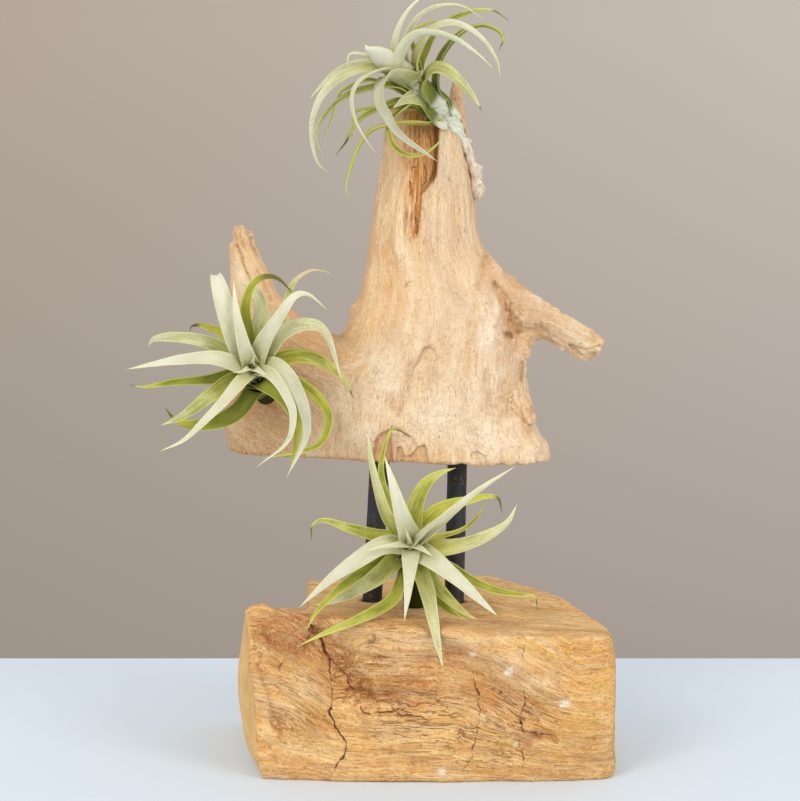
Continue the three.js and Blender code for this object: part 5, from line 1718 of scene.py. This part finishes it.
def fibres_and_pores(s, colour, colours, fine, grit, hair_amount, grit_amount):
    """The colours of fibres, pores and grit, each with its pattern and its amount, with painted shade where
    the relief is low and a painted highlight where it is high.
    """
    relief_shade_and_highlight = s.number("relief_shade_and_highlight")
    hair = grain_streaks(s, 0.4, 5)
    for key, pattern, low, high, amount in (
        # painted shade in the hollows of the relief, painted highlight on its ridges
        ("line", relief_shade_and_highlight, -0.1, -0.9, 0.4),
        ("pale", relief_shade_and_highlight, 0.1, 0.9, 0.35),
        ("line", fine, 0.48, 0.74, 0.45),
        ("pale", fine, 0.5, 0.28, 0.35),
        ("dash", hair, 0.56, 0.72, hair_amount),
        ("dash", grit, 0.53, 0.73, grit_amount),
        ("pale", grit, 0.47, 0.3, grit_amount),
    ):
        colour = s.coat(colour, colours[key], pattern, low, high, amount)
    return colour


def sawn_marks(s, colour, colours, grit):
    """The long dark lines of the grain, the smooth sawn end and the bare spots, and where those lines are."""
    grain = s.vector("grain")
    contour = s.math("ABSOLUTE", s.math("SUBTRACT", s.noise(grain, (2.2, 2.2, 34), 3), 0.5))
    broken = s.rise(s.noise(grain, (2.5, 2.5, 16), 2), 0.38, 0.5)
    lines = s.share(s.share(s.rise(contour, 0.028, 0.008), broken), s.number("lined"))
    colour = s.mix(s.share(lines, 0.85), colour, colours["dash"])
    cut = s.mix(s.rise(s.noise(grain, (9, 6, 30), 2), 0.35, 0.65), colours["cut"], colours["cut_band"])
    colour = s.mix(s.number("sawn"), colour, s.coat(cut, colours["line"], grit, 0.5, 0.75, 0.3))
    bare = s.share(s.number("bare"), s.rise(grit, 0.75, 0.45))
    return s.mix(bare, colour, colours["bare"]), lines


def wood_material(name, colours, dash_amount, hair_amount, grit_amount, sawn=False):
    """Weathered wood: streaks, thin dark dashes and pores along the grain, stains and bleached places, with
    painted shade in cracks, creases and hollows and painted highlights on ridges and edges.
    """
    s = Shade(name)
    grain = s.vector("grain")
    broad, middle = grain_streaks(s, 6.0, 70), grain_streaks(s, 1.9, 28)
    fine, dashes = grain_streaks(s, 0.62, 9, 3), grain_streaks(s, 0.6, 6, 3)
    cloud = s.noise(grain, (13, 13, 22), 3)
    blush = s.noise(grain, (8, 8, 26), 2)
    grit = s.noise(grain, (0.8, 0.8, 1.1), 2, 0.75)
    speck = s.noise(grain, (1.5, 1.5, 2.2), 3, 0.7)
    colour = s.mix(s.rise(broad, 0.36, 0.62), colours["light"], colours["middle"])
    colour = s.coat(colour, colours["grey"], blush, 0.46, 0.66, 0.45)
    colour = s.coat(colour, colours["line"], middle, 0.46, 0.68, 0.38)
    colour = s.coat(colour, colours["stain_and_shade"], cloud, 0.48, 0.75, 0.25)
    colour = painted_places(s, colour, colours, middle, fine, cloud, speck)
    colour = fibres_and_pores(s, colour, colours, fine, grit, hair_amount, grit_amount)
    marked = s.share(s.rise(dashes, 0.63, 0.72), dash_amount)
    colour = s.mix(marked, colour, colours["dash"])
    if sawn:
        colour, lines = sawn_marks(s, colour, colours, grit)
        marked = s.add(marked, lines)
    # painted shade in cracks, creases, holes and the split
    colour = s.mix(s.number("dark"), colour, colours["dark"])
    height = s.add(s.share(middle, 0.7), s.share(fine, 0.7), s.share(marked, -0.6),
                   s.share(speck, 0.35), s.share(grit, 0.25))
    roughness = s.add(s.share(speck, 0.2), 0.7)
    return s.finish(colour, roughness, s.bump(height, 0.8), Specular_IOR_Level=0.25)


IRON_COLOURS = {
    "paint": tint("1E2124"), "pale_paint": tint("30353A"), "scuff": tint("6C757C"), "rust": tint("8C5A30"),
}


def iron_material():
    """Black paint on iron, with dull and rusty specks."""
    s = Shade("iron")
    tints = IRON_COLOURS
    spot = s.vector("skin")
    speck = s.noise(spot, (1.1, 1.1, 1.6), 3, 0.7)
    scuff = s.noise(spot, (1.6, 1.6, 5), 3, 0.7)
    cloud = s.noise(spot, (6, 6, 12), 2)
    colour = s.mix(s.rise(cloud, 0.35, 0.65), tints["paint"], tints["pale_paint"])
    colour = s.coat(colour, tints["scuff"], scuff, 0.6, 0.7, 0.6)
    rusty = s.share(s.rise(speck, 0.55, 0.64), s.rise(s.noise(spot, (9, 9, 14), 2), 0.5, 0.6))
    colour = s.mix(rusty, colour, tints["rust"])
    roughness = s.add(s.share(speck, 0.35), 0.35)
    return s.finish(colour, roughness, s.bump(speck, 0.2), Metallic=0.25)


POST_POINTS = 56
POST_RINGS = 120
POST_BEVEL = 0.6
POST_UNEVEN = 0.05


def build_post(name, post, material):
    """A painted rod with soft unevenness and bevelled ends."""
    a, b = post_ends(post)
    along = unit(b - a)
    across = unit(np.cross(along, [0, 1, 0]))
    length = np.linalg.norm(b - a)
    cosines, sines = circle(POST_POINTS)
    out = np.outer(cosines, across) + np.outer(sines, np.cross(along, across))
    rings = []
    for height in np.linspace(0, length, POST_RINGS):
        bevel = max(0, POST_BEVEL - min(height, length - height))
        spot = a + along * height + out * POST_RADIUS
        uneven = POST_UNEVEN * (noise(spot / 5, 5) + 0.5 * noise(spot / 1.6, 6) - 1)
        rings.append(a + along * height + out * (POST_RADIUS - bevel + uneven)[:, None])
    points = np.vstack(rings + [a[None], b[None]])
    piece = build(name + "_painted", points, loft_faces(POST_RINGS, POST_POINTS), {}, {"skin": points})
    return place(piece, material, "iron", name)


# ---------------------------------------------------------------- camera, light, floor

PICTURE_HEIGHT_PX = 801
FOCAL_PX = 2319.5
SENSOR = 36.0
EYE = (-12.5, -1150, 330)
AIM = (-12.5, 0, 180)
CLIP_START = 0.05
TABLE_LOW = (-4000, -5000, -30)
TABLE_HIGH = (4000, 196, 0)  # its back edge shows behind the stand
TABLE_COLOURS = (tint("D4E0EC"), tint("DCE7F1"))
# The place that the lamps shine at and how large they are, then each one's place, all in metres, with its
# power and its colour.
LAMP_AIM = (0, 0, 0.18)
LAMP_SIZE = 1.3
LAMPS = {
    "key": ((-1.3, -1.9, 1.5), 27.2, (1.0, 0.98, 0.95)),
    "fill": ((1.7, -1.7, 1.2), 22.4, (0.98, 0.99, 1.0)),
}


def add_camera():
    camera = bpy.data.objects.new("camera", bpy.data.cameras.new("camera"))
    camera.data.sensor_width = SENSOR
    camera.data.lens = SENSOR * FOCAL_PX / PICTURE_HEIGHT_PX
    camera.location = Vector(EYE) * MM
    camera.rotation_euler = ((Vector(AIM) - Vector(EYE)) * MM).to_track_quat("-Z", "Y").to_euler()
    camera.data.clip_start = CLIP_START
    bpy.context.scene.collection.objects.link(camera)
    bpy.context.scene.camera = camera


def add_light(name, where, power, colour):
    data = bpy.data.lights.new(name, "AREA")
    data.shape = "DISK"
    data.size = LAMP_SIZE
    data.energy = power
    data.color = colour
    light = bpy.data.objects.new(name, data)
    light.location = where
    light.rotation_euler = (Vector(LAMP_AIM) - Vector(where)).to_track_quat("-Z", "Y").to_euler()
    bpy.context.scene.collection.objects.link(light)


def add_table():
    """A plain pale table top whose back edge shows behind the stand."""
    ends = (TABLE_LOW, TABLE_HIGH)
    corners = [[ends[o][k] for k, o in enumerate(offset)] for offset in np.ndindex(2, 2, 2)]
    faces = [(0, 1, 3, 2), (4, 6, 7, 5), (0, 4, 5, 1), (2, 3, 7, 6), (0, 2, 6, 4), (1, 5, 7, 3)]
    table = build("table", corners, faces)
    table.data.polygons.foreach_set("use_smooth", [False] * len(table.data.polygons))
    s = Shade("table")
    cloud = s.noise(s.node("ShaderNodeTexCoord", {}).outputs["Object"], (0.4, 0.4, 0.4), 2)
    colour = s.mix(cloud, *TABLE_COLOURS)
    table.data.materials.append(s.finish(colour, 0.7, s.bump(cloud, 0.05)))


WORLD_STRENGTH = 1.0
# The surround's colours where the camera sees it: at its left and right, from high to low.
WALL_LEFT = (tint("B5A79B"), tint("9D948A"))
WALL_RIGHT = (tint("C6BDB3"), tint("A89D95"))
OVERHEAD = tint("E6E5E4")


def add_world():
    """An even taupe surround, darker to the left and below, with a pale sky above the camera's view."""
    world = bpy.data.worlds.new("surround")
    bpy.context.scene.world = world
    world.use_nodes = True
    s = Nodes(world.node_tree)
    toward = s.node("ShaderNodeTexCoord", {}).outputs["Generated"]
    parts = s.node("ShaderNodeSeparateXYZ", {0: toward}).outputs
    fall = s.rise(parts["Z"], 0.03, -0.24, "LINEAR")
    sides = s.rise(parts["X"], -0.17, 0.17, "LINEAR")
    wall = s.mix(sides, s.mix(fall, *WALL_LEFT), s.mix(fall, *WALL_RIGHT))
    background = next(n for n in s.tree.nodes if n.type == "BACKGROUND")
    s.feed(background.inputs["Strength"], WORLD_STRENGTH)
    s.feed(background.inputs["Color"], s.mix(s.rise(parts["Z"], 0.1, 0.4, "LINEAR"), wall, OVERHEAD))


def add_studio():
    add_camera()
    add_table()
    add_world()
    for name, (where, power, colour) in LAMPS.items():
        add_light(name, where, power, colour)
    bpy.context.scene.view_settings.view_transform = "Standard"


# ---------------------------------------------------------------- the whole display

add_studio()
leaf_look = leaf_material()
stem_look = stem_material()
for plant in (TOP_PLANT, LEFT_PLANT, BOTTOM_PLANT):
    build_plant(plant, leaf_look, stem_look)
build_driftwood(wood_material("driftwood", DRIFT_COLOURS, **DRIFT_MARKS))
build_base(wood_material("sawn_wood", BASE_COLOURS, **BASE_MARKS, sawn=True))
iron_look = iron_material()
for name, post in POSTS.items():
    build_post(name, post, iron_look)
